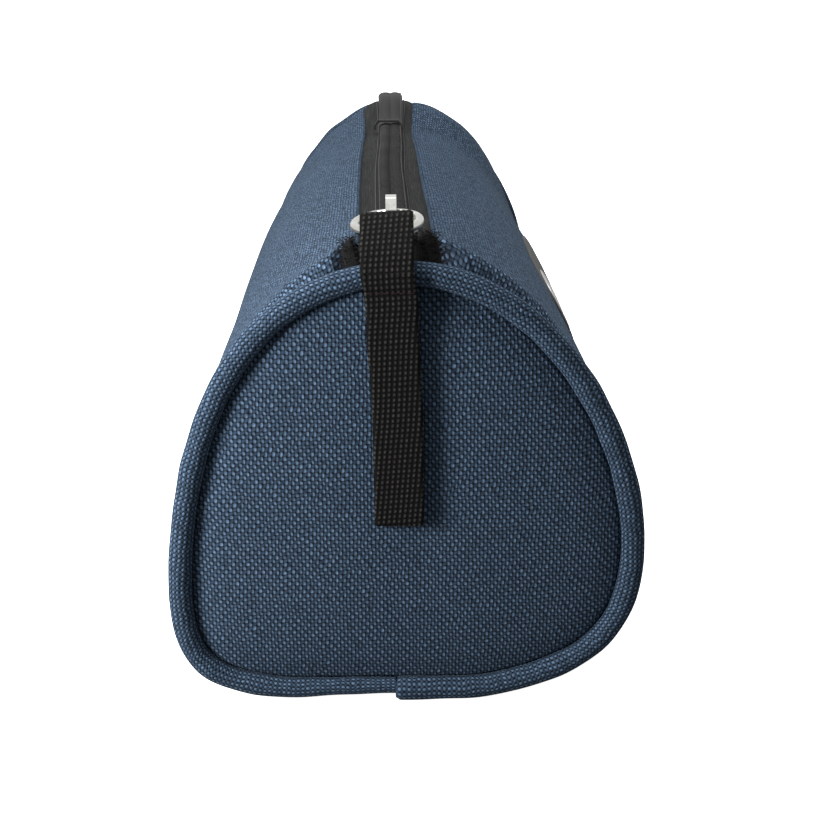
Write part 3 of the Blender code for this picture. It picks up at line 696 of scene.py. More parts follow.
def webbing():
    """Black webbing: lengthwise yarns that surface in slightly slanted rows, with a dull shine."""
    nodes = Nodes("black_webbing_yarn")
    u, v = nodes.cloth_mm()
    across = nodes.wave(nodes.math("MULTIPLY_ADD", v, WEBBING_COLUMN_SLANT, u), WEBBING_COLUMN_MM)
    down = nodes.wave(nodes.math("MULTIPLY_ADD", u, WEBBING_ROW_SLANT, v), WEBBING_ROW_MM)
    surfaced = nodes.times(nodes.times(across, across), nodes.math("ABSOLUTE", down))
    fibres = nodes.noise(nodes.joined(nodes.times(u, 9.0), nodes.times(v, 1.2)), 1.0, detail=3.0)
    tone = nodes.noise(nodes.joined(u, v), 1.7, detail=2.0)
    yarn = nodes.mix(nodes.range(tone, 0.35, 0.65, 0, 1), WEBBING_YARN, WEBBING_PALE)
    # Between the surfaced yarns the ground weave goes near black: painted shade in the hollows where the yarns
    # sink.
    colour = nodes.mix(nodes.range(surfaced, 0.3, 0.9, 0, 1), WEBBING_GROUND_SHADE, yarn)
    nodes.bump(fibres, 0.05 * MM, 0.6)
    return nodes.finish(colour, 0.8, specular=0.08)


def label_silver():
    """A blank satin plate, brushed along its length."""
    nodes = Nodes("label_plate_satin")
    u, v = nodes.cloth_mm()
    brushed = nodes.noise(nodes.joined(nodes.times(u, 14.0), nodes.times(v, 0.6)), 1.0)
    colour = nodes.mix(brushed, (0.5, 0.5, 0.5), (0.72, 0.72, 0.71))
    nodes.bump(brushed, 0.02 * MM, 0.4)
    return nodes.finish(colour, nodes.range(brushed, 0.3, 0.7, 0.25, 0.45), metallic=0.7)


NAVY = navy_cloth("navy_cloth_weave", WEAVE_PITCH_MM, spread=0.12)
NAVY_END = navy_cloth("navy_cloth_end", WEAVE_PITCH_MM, spread=0.3)
NAVY_BIAS = navy_cloth("navy_cloth_bias", BIAS_PITCH_MM, spread=0.24, turned=math.radians(45))
LINING_CLOTH = lining_cloth()
TAPE_CLOTH = tape_cloth("zip_tape_cloth", TAPE_DARK, TAPE_PALE)
FLUFF_CLOTH = tape_cloth("zip_tab_cloth", COIL_BLACK, FLUFF)
COIL_NYLON = nylon("coil_nylon", COIL_BLACK, 0.5)
THREAD = nylon("sewing_thread", THREAD_GREY, 0.6)
STITCH_THREAD = nylon("strap_thread", THREAD_BLACK, 0.6)
FLUFF_FIBRE = nylon("tab_fluff", FLUFF, 0.9)
STOP_NYLON = nylon("stop_nylon", (0.03, 0.03, 0.03), 0.75)
NICKEL = nickel()
WEBBING = webbing()
CORD = cord_cotton()
LABEL_RUBBER = label_rubber()
LABEL_SILVER = label_silver()


# ---------------------------------------------------------------- the wrap, its lining and the zip


def hump(around, along):
    """How far the cloth stands up just before the far seam, most on the right of the zip."""
    signed = SECTION.from_zip(around)
    before_seam = between(along, MOUTH_END + 1 * MM, MOUTH_END + 26 * MM, LENGTH - 14 * MM, LENGTH - 5 * MM)
    beside_peak = between(signed, HUMP_PEAK - 52 * MM, HUMP_PEAK, HUMP_PEAK, HUMP_PEAK + 36 * MM)
    return HUMP_HEIGHT * before_seam * beside_peak


def fullness(around, along):
    """Depth of the outer cloth along its run between the seams."""
    signed = SECTION.from_zip(around)
    to_right = smooth(signed, -15 * MM, 15 * MM)
    depth = stations(along, LEFT_DEPTH) * (1 - to_right) + stations(along, RIGHT_DEPTH) * to_right
    uneven = 0.16 * MM * ripples(around, along, 46 * MM, seed=3)
    ends = between(along, 10 * MM, 30 * MM, LENGTH - 30 * MM, LENGTH - 10 * MM)
    near_zip = np.exp(-((signed / (13 * MM)) ** 2))
    return depth + uneven * ends + 0.5 * MM * near_zip


def crest(around):
    """How far the cloth stands above the outline just behind the near seam."""
    signed = SECTION.from_zip(around)
    return np.where(signed > 0, stations(signed, RIGHT_CREST), stations(-signed, LEFT_CREST))


def wrap_rows():
    """(along, extra depth) down the whole wrap: at each end the turn into its seam, and the run between."""
    near = catmull_rom(np.array(WRAP_TURN) * MM, 0.45 * MM)
    far = np.column_stack([LENGTH - near[::-1, 0], near[::-1, 1]])
    run = np.arange(near[-1, 0] + 1.5 * MM, far[0, 0], 1.5 * MM)
    middle = np.column_stack([run, np.zeros(len(run))])
    return np.vstack([near, middle, far])


ROWS = wrap_rows()


def wrap_surface(arounds, rows, inwards=0.0):
    """Points of the wrap's outer face: a grid over distances around (columns) and rows along."""
    around = np.repeat(arounds[None, :], len(rows), axis=0)
    along = np.repeat(rows[:, :1], len(arounds), axis=1)
    turned_in = np.repeat(rows[:, 1:], len(arounds), axis=1)
    signed = SECTION.from_zip(around)
    open_edge = np.clip((TAPE_HALF + 1.2 * MM - np.abs(signed)) / (4.0 * MM), 0, 1)
    body = between(along, 8.5 * MM, 24 * MM, LENGTH - 7 * MM, LENGTH - 4 * MM)
    on_crest = between(along, 4.6 * MM, 8.4 * MM, 9.5 * MM, 26 * MM) * (1 - 0.6 * open_edge)
    depth = turned_in + fullness(around, along) * body - hump(around, along) - crest(around) * on_crest
    flat = SECTION.facing_down(around) * between(along, 7 * MM, 20 * MM, LENGTH - 20 * MM, LENGTH - 7 * MM)
    depth = depth * (1 - flat)
    near_seam = np.exp(-along / PUCKER_REACH) + np.exp(-(LENGTH - along) / PUCKER_REACH)
    puckers = PUCKER * ripples(around, along * 0.3, 10 * MM, seed=5)
    puckers = puckers + FINE_PUCKER * ripples(around, along * 0.2, 4 * MM, seed=6)
    depth = depth + puckers * near_seam * smooth(along, 4.6 * MM, 6 * MM)
    ease = np.clip(1 - (along - ROWS[0, 0]) / (44 * MM), 0, 1)
    along = along + open_edge * (TAB_LENGTH - 2.5 * MM) * ease
    depth = np.where(open_edge > 0, np.minimum(depth, 2.5 * MM), depth)
    hem = np.clip((MOUTH_HALF + 0.55 * MM - np.abs(signed)) / (0.55 * MM), 0, 1)
    depth = depth + 0.5 * MM * (1 - np.sqrt(1 - hem**2))
    wider = np.where(signed > 0, stations(along, RIGHT_MOUTH), -stations(along, LEFT_MOUTH))
    wider = wider - np.sign(signed) * MOUTH_HALF
    around = around + wider * (1 - smooth(np.abs(signed), MOUTH_HALF, 3 * MOUTH_HALF))
    place = SECTION.place(around, along, depth + inwards)
    place[..., 2] = np.maximum(place[..., 2], inwards)
    return place


def in_mm(u, v):
    """A grid of texture coordinates from its lengths across and down, or from two grids of lengths."""
    if np.ndim(u) == 1:
        u, v = np.meshgrid(u, v)
    return np.stack([u / MM, v / MM], axis=-1)


def wrap_sheet(name, columns, rows, depth, thickness, material, uvs=None):
    """A sheet over part of the wrap, at a depth behind its outer face."""
    outer, inner = wrap_surface(columns, rows, depth), wrap_surface(columns, rows, depth + thickness)
    if uvs is None:
        uvs = in_mm(columns, travelled(rows))
    return sheet(name, outer, inner, uvs, material)


def spaced(start, end, spacing):
    """Evenly spaced distances, both ends included."""
    return np.linspace(start, end, max(2, int(round((end - start) / spacing)) + 1))


def side_columns(side):
    """Distances around one side, from its fold to the zip's mouth, closer together at the hem."""
    hem = MOUTH_HALF + np.array([0, 0.04, 0.12, 0.26, 0.42, 0.55, 0.9]) * MM
    if side == "right":
        rest = spaced(hem[-1] + 0.8 * MM, FOLD_RIGHT, 1.1 * MM)
        return np.concatenate([hem, rest])
    rest = spaced(FOLD_LEFT, SECTION.length - hem[-1] - 0.8 * MM, 1.1 * MM)
    return np.concatenate([rest, SECTION.length - hem[::-1]])


def on_side(piece, node=None):
    """Hides the CAD node that a piece replaces, and bakes the piece's placing into its mesh."""
    belongs(piece, node, body=None)
    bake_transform(piece)


def half_rows(rows, half):
    """The rows of the near or the far half. Both keep the row in the middle, so they meet."""
    split = int(np.argmin(np.abs(rows[:, 0] - MOUTH_MIDDLE)))
    return rows[: split + 1] if half == "near" else rows[split:]


def side_cloth(side, half):
    """Half of one side's outer cloth, hemmed at the zip."""
    columns = side_columns(side)
    rows = half_rows(ROWS, half)
    uvs = in_mm(columns, travelled(ROWS))
    uvs = uvs[: len(rows)] if half == "near" else uvs[-len(rows):]
    piece = wrap_sheet(f"{side}_side_cloth_{half}", columns, rows, 0.0, CLOTH, NAVY, uvs)
    on_side(piece, f"{side}_side_panel")


def base_cloth():
    """The part of the outer cloth that the case rests on. It runs a little way up under each side."""
    tuck = 1.2 * MM
    under_right, under_left = [FOLD_RIGHT - 3 * MM, FOLD_RIGHT - tuck], [FOLD_LEFT + tuck, FOLD_LEFT + 3 * MM]
    columns = np.concatenate([under_right, spaced(FOLD_RIGHT, FOLD_LEFT, 1.2 * MM), under_left])
    under = np.where((columns < FOLD_RIGHT) | (columns > FOLD_LEFT), CLOTH + 0.15 * MM, 0.0)
    belongs(wrap_sheet("base_cloth", columns, ROWS, under, CLOTH, NAVY), "base_panel")


def lining_sheet(name, columns, rows):
    """A piece of lining. It lies inside the cloth, and is a little slack."""
    slack = LINING_SLACK * (1 + ripples(columns[None, :], rows[:, :1], 24 * MM, seed=11))
    return wrap_sheet(name, columns, rows, CLOTH + LINING_GAP + slack, LINING, LINING_CLOTH)


def linings():
    """The wrap's lining: the base's, and each side's in two halves."""
    rows = ROWS[(ROWS[:, 0] > 6.2 * MM) & (ROWS[:, 0] < LENGTH - 6.2 * MM)]
    clear = TAPE_HALF + 1.2 * MM
    columns = spaced(FOLD_RIGHT, FOLD_LEFT, 2 * MM)
    belongs(lining_sheet("base_lining_cloth", columns, rows), "base_lining")
    sides = (
        ("right", spaced(clear, FOLD_RIGHT, 1.6 * MM)),
        ("left", spaced(FOLD_LEFT, SECTION.length - clear, 1.6 * MM)),
    )
    for side, columns in sides:
        for half in ("near", "far"):
            piece = lining_sheet(f"{side}_lining_cloth_{half}", columns, half_rows(rows, half))
            on_side(piece, f"{side}_side_lining")


def tape_depth(around, along):
    """Depth of the zip tape's upper face. It rises over the hump, and stands highest at its middle."""
    rise = between(along, MOUTH_END, MOUTH_END + 26 * MM, LENGTH - 14 * MM, LENGTH - 7 * MM)
    middle = 1 - smooth(np.abs(around), 4 * MM, TAPE_HALF)
    uneven = 0.1 * MM * ripples(around, along, 30 * MM, seed=8)
    return TAPE_DEPTH + uneven - hump(around, along) - ZIP_LIFT * rise * middle


def zip_tape(side, half):
    """Half of one zip tape, with an edge that clears the slider's post."""
    sign = 1 if side == "right" else -1
    rows = half_rows(np.column_stack([spaced(6 * MM, LENGTH - 6 * MM, 1.5 * MM)] * 2), half)[:, 0]
    share = np.linspace(0, 1, 14)
    edge = 0.12 * MM + 1.15 * MM * (1 - smooth(rows, MOUTH_START + 2.8 * MM, MOUTH_START + 4.5 * MM))
    around = edge[:, None] + (TAPE_HALF - edge[:, None]) * share[None, :]
    along = np.repeat(rows[:, None], len(share), axis=1)
    depth = tape_depth(around, along)
    outer = SECTION.place(sign * around, along, depth)
    inner = SECTION.place(sign * around, along, depth + TAPE_THICKNESS)
    uvs = in_mm(around, along)
    if side == "left":
        outer, inner, uvs = outer[:, ::-1], inner[:, ::-1], uvs[:, ::-1]
    piece = sheet(f"{side}_tape_cloth_{half}", outer, inner, uvs, TAPE_CLOTH)
    on_side(piece, f"{side}_zip_tape")


def zip_coil(side, half):
    """Half of one side's coil: a flattened helix on a cord, meshed with its twin half a turn out of step."""
    sign = 1 if side == "right" else -1
    start, end = MOUTH_START + 3.2 * MM, LENGTH - 6.5 * MM
    per_turn = 14
    turns = np.arange(0, (end - start) / COIL_PITCH, 1 / per_turn)
    if half == "near":
        turns = turns[start + turns * COIL_PITCH <= MOUTH_MIDDLE]
    else:
        turns = turns[start + turns * COIL_PITCH >= MOUTH_MIDDLE - COIL_PITCH / per_turn]
    phase = math.tau * turns + (0 if side == "right" else math.pi)
    along = start + turns * COIL_PITCH

    def at(across, height):
        place = SECTION.place(sign * across, along, tape_depth(across, along))
        return place + np.outer(height * np.ones(len(along)), (0, 0, 1))

    base = np.full(len(along), COIL_MIDDLE)
    path = at(base, COIL_LIFT + COIL_RISE * np.sin(phase))
    path[:, 0] += sign * COIL_REACH * np.cos(phase)
    wire = tube(f"{side}_coil_wire_{half}", path, (COIL_WIRE, COIL_WIRE), 7, COIL_NYLON, ups=(0.0, 1.0, 0.0))
    on_side(wire, f"{side}_zip_coil")
    past_stop = smooth(along[::7], MOUTH_END, MOUTH_END + 2 * MM)[:, None]
    radii = np.array((1.7, 0.85)) * MM + past_stop * np.array((0.5, 0.42)) * MM
    core = tube(f"{side}_coil_core_{half}", at(base, COIL_LIFT)[::7], radii, 14, COIL_NYLON)
    on_side(core)
    rows = []
    for number, (offset, top) in enumerate(THREAD_ROWS):
        stitch = 0.1 * MM * np.abs(np.sin(math.pi * turns))
        line = at(np.full(len(along), offset), top + stitch)[::2]
        rows.append(tube(f"thread_{number}", line, (0.17 * MM, 0.13 * MM), 5, THREAD))
    on_side(joined(f"{side}_coil_thread_{half}", rows))


def zip_tab():
    """The puffed black cloth over the tape's near end. It runs into the seam, under the strap."""
    rows = spaced(TAB_START, TAB_START + TAB_LENGTH, 0.4 * MM)
    share = np.linspace(-1, 1, 61)
    half_width = 9.6 * MM - 2.1 * MM * smooth(rows, 12 * MM, 20 * MM)
    around = half_width[:, None] * share[None, :] - 1.0 * MM
    along = np.repeat(rows[:, None], len(share), axis=1)
    width = np.where(along < TAB_RIDGE, 2.9 * MM, 3.8 * MM)
    ridge = np.exp(-(((along - TAB_RIDGE) / width) ** 2))
    edge = 1 - smooth(np.abs(share[None, :]), 0.8, 1.0)
    beyond = np.abs(around - STRAP_MIDDLE[0][1] * MM) - STRAP_HALF
    under_strap = 1 - smooth(beyond, 0, 1.2 * MM)
    outwards = smooth(np.abs(share[None, :]), 0.62, 0.98)
    peak = 3.3 * MM - 1.7 * MM * outwards - 2.8 * MM * under_strap
    low = -1.9 * MM
    height = low + (peak - low) * ridge * edge
    pucker = 0.42 * MM * ripples(around, along, 4.2 * MM, seed=21) * (1 - under_strap)
    depth = -height + pucker * smooth(along, TAB_START, 7 * MM)
    depth = depth + 1.4 * MM * (1 - smooth(along, TAB_START, 6.4 * MM))
    outer, inner = SECTION.place(around, along, depth), SECTION.place(around, along, depth + CLOTH)
    piece = sheet("front_zip_tab_cloth", outer, inner, in_mm(around, along), FLUFF_CLOTH)
    belongs(piece, "front_zip_tab")
    tab_fluff(outer, (beyond > 0.7 * MM) & (ridge > 0.3) & (np.abs(share[None, :]) < 0.9))


def tab_fluff(surface, clear):
    """Frayed fibres that stand up from the tab's face, where clear says that nothing lies over it."""
    random = np.random.default_rng(9)
    spots = np.argwhere(clear)
    fibres = []
    for number in range(FLUFF_FIBRES):
        row, column = spots[random.integers(len(spots))]
        heading = random.uniform(0, math.tau)
        reach = random.uniform(0.5, 1.5) * MM
        curl = random.uniform(-1.2, 1.2)
        steps = np.linspace(0, 1, 5)
        lean = heading + curl * steps
        bend = np.column_stack([np.cos(lean) * steps, np.sin(lean) * steps, steps * (1.1 - 0.6 * steps)])
        line = surface[row, column] - np.array([0, 0, 0.1 * MM]) + bend * reach
        fibres.append(tube(f"fibre_{number}", line, (0.06 * MM, 0.06 * MM), 4, FLUFF_FIBRE))
    belongs(joined("tab_fibres", fibres))


# ---------------------------------------------------------------- the ends


def from_end(end, distance):
    """A distance in from one end's outer edge, as a distance along."""
    return distance if end == "front" else LENGTH - distance


def end_rings(end, columns, behind):
    """Rings of points over an end, from its tucked-in rim to its middle, some way behind the cloth's face."""
    inwards = 1 if end == "front" else -1
    shaped = catmull_rom(np.array(END_TUCK) * MM, 0.45 * MM)
    slope = unit(np.gradient(shaped, axis=0))
    shaped = shaped + behind * np.column_stack([slope[:, 1], -slope[:, 0]])
    rings = [SECTION.place(columns, from_end(end, along), depth) for along, depth in shaped]
    centre = np.array([1.0 * MM, 0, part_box("front_end_panel")[1].z * 0.5])
    rim = rings[-1]
    for share in np.linspace(0, 1, 34)[1:] ** 1.5:
        ring = rim + (centre - rim) * min(share, 0.995)
        crown = END_CROWN * (1 - math.exp(-share / 0.08)) + END_CROWN * (1 - (1 - share) ** 2)
        ring[:, 1] = rim[:, 1] - inwards * crown
        ring[:, 1] += 0.16 * MM * ripples(ring[:, 0], ring[:, 2], 34 * MM, seed=31) * smooth(share, 0, 0.3)
        rings.append(ring)
    return np.array(rings)


def end_sheet(name, end, behind, thickness, material):
    """A closed sheet over one end, crowned in the middle and tucked in behind the piping all round."""
    columns = spaced(0, SECTION.length, 1.0 * MM)[:-1]
    outer, inner = end_rings(end, columns, behind), end_rings(end, columns, behind + thickness)
    rows, count = outer.shape[:2]
    total = rows * count
    vertices = np.concatenate([outer.reshape(-1, 3), inner.reshape(-1, 3)])
    faces = grid_faces(rows, count, 0, close_columns=True)
    faces += grid_faces(rows, count, total, flip=True, close_columns=True)
    last = (rows - 1) * count
    faces.append(tuple(range(last, last + count)))
    faces.append(tuple(range(total + last + count - 1, total + last - 1, -1)))
    faces += [((k + 1) % count, k, total + k, total + (k + 1) % count) for k in range(count)]
    if end == "rear":
        faces = [face[::-1] for face in faces]
    return new_piece(name, vertices, faces, vertices[:, [0, 2]] / MM, material)


def end_cloth(end):
    """One end's outer cloth, and the lining behind it."""
    cloth = end_sheet(f"{end}_end_cloth", end, 0.0, END_CLOTH, NAVY_END)
    belongs(cloth, f"{end}_end_panel")
    lining = end_sheet(f"{end}_end_lining_cloth", end, END_CLOTH + 0.15 * MM, LINING, LINING_CLOTH)
    belongs(lining, f"{end}_end_lining")


def piping(end):
    """A bias strip folded round a cord. Its ends lap at the bottom, one over the thinner other."""
    start = SECTION.bottom() + 0.4 * MM
    arounds = spaced(start, start + SECTION.length, 0.8 * MM)
    gone = arounds - arounds[0]
    left = arounds[-1] - arounds
    thin = LAP_THIN * (1 - smooth(gone, 2 * MM, 34 * MM))
    thick = LAP_THICK * (1 - smooth(left, 0, 14 * MM))
    corner = 0.5 * MM * (1 - np.sqrt(1 - np.clip(1 - left / (0.8 * MM), 0, 1) ** 2))
    wobble = 0.07 * MM * ripples(arounds, 0 * arounds, 13 * MM, seed=41 if end == "front" else 43)
    radius = PIPING_RADIUS - thin + thick - corner + wobble
    depth = PIPING_RADIUS + thin * 0.9 - 0.5 * thick
    angles = np.linspace(-PIPING_REACH, PIPING_REACH, 23)[:, None]

    def at(radius):
        along = from_end(end, PIPING_RADIUS - radius * np.sin(angles))
        return SECTION.place(arounds[None, :], along, depth - radius * np.cos(angles))

    outer, inner = at(radius), at(radius - PIPING_WALL)
    uvs = in_mm(*np.broadcast_arrays(angles * PIPING_RADIUS, arounds[None, :]))
    if end == "rear":
        outer, inner, uvs = outer[::-1], inner[::-1], uvs[::-1]
    piece = sheet(f"{end}_piping_cloth", outer, inner, uvs, NAVY_BIAS)
    belongs(piece, f"{end}_piping_cover")
    core = SECTION.place(arounds, from_end(end, PIPING_RADIUS), depth)
    cord = tube(f"{end}_cord_cotton", core[2:-2], (CORD_RADIUS, CORD_RADIUS), 12, CORD, ups=(0.0, 1.0, 0.0))
    belongs(cord, f"{end}_piping_cord")


def seam_binding(end):
    """The black tape folded over the raw edges of a seam, inside the case."""
    folded = np.array(BINDING_FOLD) * MM
    arounds = spaced(0, SECTION.length, 1.5 * MM)[:-1]
    rings = np.array([SECTION.place(arounds, from_end(end, along), depth) for along, depth in folded])
    rows, columns = rings.shape[:2]
    faces = grid_faces(rows, columns, 0, flip=end == "rear", close_rows=True, close_columns=True)
    uvs = in_mm(arounds, travelled(folded))[..., ::-1].reshape(-1, 2)
    piece = new_piece(f"{end}_binding_tape", rings.reshape(-1, 3), faces, uvs, TAPE_CLOTH)
    belongs(piece, f"{end}_seam_binding")


# ---------------------------------------------------------------- metal, strap and label


def dress_stop():
    """The far stop keeps its CAD shape, and gets its material and softened edges."""
    node = frame["nodes"]["zip_bottom_stop"]
    node.data.materials.clear()
    node.data.materials.append(STOP_NYLON)
    soften(node, 0.15 * MM)


def soften(piece, width):
    """Rounds a piece's sharp edges."""
    bevel = piece.modifiers.new("softened", "BEVEL")
    bevel.width = width
    bevel.segments = 4
    bevel.limit_method = "ANGLE"
    bevel.harden_normals = True


def slider_cast():
    """The slider, its edges rounded. It sits a little to one side, where the strap pulls it."""
    node = frame["nodes"]["slider_body"]
    points = np.array([node.matrix_world @ vertex.co for vertex in node.data.vertices])
    corners, index = np.unique(np.round(points / (0.001 * MM)), axis=0, return_inverse=True)
    points = corners * 0.001 * MM
    index = index.reshape(-1)
    points[:, 0] += SLIDER_SHIFT
    faces = [tuple(int(index[k]) for k in polygon.vertices) for polygon in node.data.polygons]
    piece = new_piece("slider_cast", points, faces, points[:, :2] / MM, NICKEL, sharp_angle=30)
    soften(piece, 0.35 * MM)
    belongs(piece, "slider_body", "slider")


def joint_place(name):
    """Where a joint's pivot is, from the frame."""
    return Vector([joint["pos_m"] for joint in frame["joints"] if joint["name"] == name][0])


def ring_place():
    """The ring's middle, and the direction from it to the strap's end of it."""
    towards = np.array([0, -math.cos(RING_TILT), -math.sin(RING_TILT)])
    held = np.array(joint_place("ring_flip")) - np.array([0, 0, RING_DROP])
    return held + towards * RING_RADIUS, towards


def pull_ring():
    """A round nickel ring, its wire a little flattened. It hangs a little to one side, and tips over."""
    middle, towards = ring_place()
    turn = np.linspace(0, math.tau, 120, endpoint=False)
    path = middle + RING_RADIUS * (np.outer(np.sin(turn), (1, 0, 0)) - np.outer(np.cos(turn), towards))
    path[:, 2] += math.tan(RING_ROLL) * path[:, 0]
    path[:, 0] += RING_SHIFT
    ups = np.cross((1.0, 0.0, 0.0), -towards)
    piece = tube("pull_ring_wire", path, (RING_WIRE, 0.93 * RING_WIRE), 18, NICKEL, ups=ups, closed=True)
    belongs(piece, "pull_ring", "ring")


def strap_path():
    """The strap's centre line as (along, height): up from its hidden join, round the ring, and down."""
    middle, towards = ring_place()
    bar_along, bar = (middle + towards * RING_RADIUS)[1:] - (SECTION.near_edge, 0)
    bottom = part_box("pull_webbing")[0].z + STRAP_THICKNESS / 2 + STRAP_RISE
    top = SECTION.points[0, 1]
    axis_along, axis_height = PIPING_RADIUS, top - PIPING_RADIUS
    under = PIPING_RADIUS + 0.2 * MM + STRAP_THICKNESS / 2
    over = under + STRAP_THICKNESS + 0.06 * MM
    corner = np.radians((0, 12, 24))
    path = [(axis_along - under, STRAP_JOIN), (axis_along - under, STRAP_JOIN + 2 * MM)]
    path += [(axis_along - under * math.cos(a), axis_height + under * math.sin(a)) for a in corner]
    foot, side = np.array(path[-1]), np.array((math.sin(corner[-1]), math.cos(corner[-1])))
    path.append(foot + 2.2 * MM * side)
    path += [(bar_along + along * MM, bar + height * MM) for along, height in STRAP_ARCH]
    over_foot = (axis_along - over * math.cos(corner[-1]), axis_height + over * math.sin(corner[-1]))
    path.append(np.array(over_foot) + 3.4 * MM * side)
    path += [(axis_along - over * math.cos(a), axis_height + over * math.sin(a)) for a in corner[::-1]]
    fold = (over - under) / 2
    fold_along = axis_along - (over + under) / 2
    path += [(fold_along - fold, height * MM) for height in (74, 64, 54, 44)]
    for angle in np.radians((180, 270, 360)):
        path.append((fold_along + fold * math.cos(angle), bottom + fold * (1 + math.sin(angle))))
    path += [(fold_along + fold, height * MM) for height in (44, 54, 64, 74)]
    path.append((fold_along + fold, STRAP_JOIN - 0.5 * MM))
    return catmull_rom(np.array(path), 0.25 * MM)


def strap_middle(height):
    """The strap's centre x at a height: it hangs a little slantwise from the ring."""
    return stations(SECTION.points[0, 1] - height, STRAP_MIDDLE)


def pull_strap():
    """The webbing pull, with its yarns raised in rows and a line of stitches across it."""
    path = strap_path()
    tangent = np.gradient(path, axis=0)
    normal = unit(np.column_stack([-tangent[:, 1], tangent[:, 0]]))
    across = np.linspace(-STRAP_HALF, STRAP_HALF, 81)
    uvs = in_mm(across, travelled(path))
    u, v = uvs[..., 0], uvs[..., 1]
    top = SECTION.points[0, 1]
    narrowed = 1 - STRAP_NARROWING / STRAP_HALF * (1 - smooth(path[:, 1], top - 22 * MM, top - 1 * MM))
    columns = np.sin(math.pi * (u + WEBBING_COLUMN_SLANT * v) / WEBBING_COLUMN_MM)
    rows = np.sin(math.pi * (v + WEBBING_ROW_SLANT * u) / WEBBING_ROW_MM)
    yarn = 0.13 * MM * columns**2 * np.abs(rows) - 0.05 * MM
    selvage = 0.28 * MM * smooth(np.abs(u), STRAP_HALF / MM - 0.5, STRAP_HALF / MM)
    thickness = STRAP_THICKNESS / 2 - selvage - 0.04 * MM
    hanging = path[:, 0] < 0
    pinch = np.exp(-(((path[:, 1] - STITCH_HEIGHT) / (0.5 * MM)) ** 2)) * hanging * 0.2 * MM
    tipped = math.tan(STRAP_ROLL) * smooth(path[:, 0], -0.5 * MM, 4.5 * MM)
    grids = []
    for side in (1, -1):
        offset = thickness + yarn - pinch[:, None]
        along = path[:, :1] + side * normal[:, :1] * offset
        height = path[:, 1:] + side * normal[:, 1:] * offset + tipped[:, None] * across[None, :]
        x = across[None, :] * narrowed[:, None] + strap_middle(path[:, 1])[:, None]
        grids.append(np.stack([x, SECTION.near_edge + along, height], axis=-1))
    woven = sheet("pull_webbing_woven", *grids, uvs, WEBBING)
    bend_strap(belongs(woven, "pull_webbing", body=None))
    stitches = []
    face = path[:, 0].min() - STRAP_THICKNESS / 2 + 0.16 * MM
    middle = float(strap_middle(STITCH_HEIGHT))
    steps = np.linspace(-0.5, 0.5, 9)
    for number, start in enumerate(np.arange(-STRAP_HALF + 1.2 * MM, STRAP_HALF - 0.9 * MM, 1.35 * MM)):
        bow = 0.16 * MM * (1 - (2 * steps) ** 2)
        x = middle + start + steps * 1.1 * MM
        line = np.column_stack([x, SECTION.near_edge + face - bow, np.full(len(steps), STITCH_HEIGHT)])
        stitches.append(tube(f"stitch_{number}", line, (0.13 * MM, 0.13 * MM), 6, STITCH_THREAD))
    bend_strap(belongs(joined("pull_strap_stitches", stitches), body=None))


def bend_strap(piece):
    """Bakes a strap piece's placing into its mesh."""
    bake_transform(piece)


def rounded_patch(name, node, slot, material, lift, thickness, corner):
    """A patch with rounded corners that lies on the right side, over the box of its CAD node."""
    low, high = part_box(node)
    along = np.array([low.y, high.y]) - SECTION.near_edge
    top = SECTION.around_at_height(high.z, right=True)
    bottom = SECTION.around_at_height(low.z, right=True)
    middle = np.array([(top + bottom) / 2, along.mean()])
    half = np.array([(bottom - top) / 2, (along[1] - along[0]) / 2])
    count = 120
    turn = np.linspace(0, math.tau, count, endpoint=False)
    power = 2 / (half.min() / corner)
    rim = np.column_stack([
        np.sign(np.cos(turn)) * np.abs(np.cos(turn)) ** power * half[0],
        np.sign(np.sin(turn)) * np.abs(np.sin(turn)) ** power * half[1],
    ])
    shares = ((1.0, 0.0), (1.0, 0.6), (0.97, 0.9), (0.93, 1.0), (0.7, 1.0), (0.4, 1.0), (0.1, 1.0))
    rings, flat = [], []
    for share, rise in shares:
        spot = middle + rim * share
        around, run = spot[:, 0], spot[:, 1]
        depth = fullness(around, run) - lift - thickness * rise
        rings.append(SECTION.place(around, run, depth))
        flat.append(spot / MM)
    vertices = np.concatenate(rings)
    faces = grid_faces(len(rings), count, 0, close_columns=True)
    faces.append(tuple(reversed(range(count))))
    faces.append(tuple((len(rings) - 1) * count + k for k in range(count)))
    piece = new_piece(name, vertices, faces, np.concatenate(flat), material)
    on_side(piece, node)


def side_label():
    """A plain black patch with a blank satin plate."""
    rounded_patch("label_patch", "side_label", "label_rubber", LABEL_RUBBER, *LABEL_PATCH)
    rounded_patch("label_plate", "side_label_plate", "label_plate", LABEL_SILVER, *LABEL_PLATE)


# ---------------------------------------------------------------- light, floor and camera


def light(name, kind, power, pointing, **settings):
    """A light whose back points along a vector."""
    data = bpy.data.lights.new(name, kind)
    data.energy = power
    for key, value in settings.items():
        setattr(data, key, value)
    made = link(name, data)
    made.rotation_euler = Vector(pointing).to_track_quat("Z", "Y").to_euler()
    return made


def pale_floor():
    """A floor that glows and looks white to the camera, and is dark where it bounces light to the case."""
    mesh = bpy.data.meshes.new("floor")
    corners = [(x * FLOOR_REACH, y * FLOOR_REACH, 0) for x, y in ((-1, -1), (1, -1), (1, 1), (-1, 1))]
    mesh.from_pydata(corners, [], [(0, 1, 2, 3)])
    floor = link("floor", mesh)
    floor.location.z = -0.3 * MM
    nodes = Nodes("pale_floor")
    seen = nodes.add("ShaderNodeLightPath").outputs["Is Camera Ray"]
    nodes.put((1, 1, 1, 1), nodes.shader.inputs["Emission Color"])
    nodes.put(nodes.times(seen, FLOOR_GLOW), nodes.shader.inputs["Emission Strength"])
    shade = nodes.mix(seen, (BOUNCE_SHADE,) * 3, (0.95, 0.95, 0.95))
    mesh.materials.append(nodes.finish(shade, 0.9, specular=0.0))


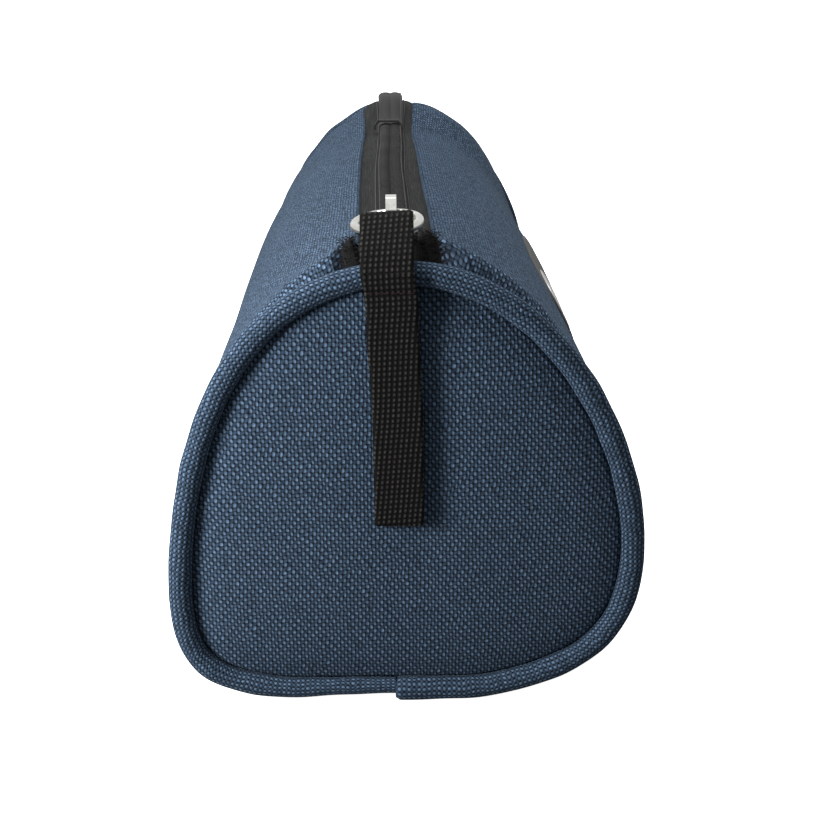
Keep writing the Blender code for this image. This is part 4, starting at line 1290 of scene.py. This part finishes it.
def white_world():
    """A world that is white to the camera and in reflections, and dim where it lights the case."""
    world = bpy.data.worlds.new("white_world")
    bpy.context.scene.world = world
    world.use_nodes = True
    sky = world.node_tree
    light_path = sky.nodes.new("ShaderNodeLightPath")
    bright = sky.nodes.new("ShaderNodeMath")
    bright.operation = "MAXIMUM"
    sky.links.new(light_path.outputs["Is Camera Ray"], bright.inputs[0])
    sky.links.new(light_path.outputs["Is Glossy Ray"], bright.inputs[1])
    strength = sky.nodes.new("ShaderNodeMapRange")
    strength.inputs["To Min"].default_value = AMBIENT
    sky.links.new(bright.outputs[0], strength.inputs["Value"])
    sky.links.new(strength.outputs["Result"], sky.nodes["Background"].inputs["Strength"])
    sky.nodes["Background"].inputs["Color"].default_value = (1, 1, 1, 1)


def photo_camera():
    """The camera, placed and turned by the values at the top."""
    data = bpy.data.cameras.new("camera")
    data.lens = CAMERA_LENS
    data.sensor_width = 36
    data.clip_start = 0.01
    camera = link("camera", data)
    camera.location = (CAMERA_SIDE, SECTION.near_edge - CAMERA_DISTANCE, CAMERA_HEIGHT)
    forward = Vector((
        math.sin(CAMERA_HEADING) * math.cos(CAMERA_PITCH),
        math.cos(CAMERA_HEADING) * math.cos(CAMERA_PITCH),
        -math.sin(CAMERA_PITCH),
    ))
    camera.rotation_euler = forward.to_track_quat("-Z", "Y").to_euler()
    bpy.context.scene.camera = camera


def studio():
    """A pale floor and a white world, a wide light above, a small one at the near left, and the camera."""
    pale_floor()
    white_world()
    light("sky_panel", "SUN", SKY_PANEL, SKY_DIRECTION, angle=math.radians(50))
    back = Vector(NEAR_LEFT_PLACE) - Vector(NEAR_LEFT_AIM)
    near_left = light("near_left", "AREA", NEAR_LEFT, back, shape="DISK", size=NEAR_LEFT_SIZE)
    near_left.location = NEAR_LEFT_PLACE
    photo_camera()
    bpy.context.scene.view_settings.view_transform = "Standard"


def build():
    base_cloth()
    linings()
    for side in ("left", "right"):
        for half in ("near", "far"):
            side_cloth(side, half)
            zip_tape(side, half)
            zip_coil(side, half)
    zip_tab()
    for end in ("front", "rear"):
        end_cloth(end)
        piping(end)
        seam_binding(end)
    dress_stop()
    slider_cast()
    pull_ring()
    pull_strap()
    side_label()
    studio()


build()
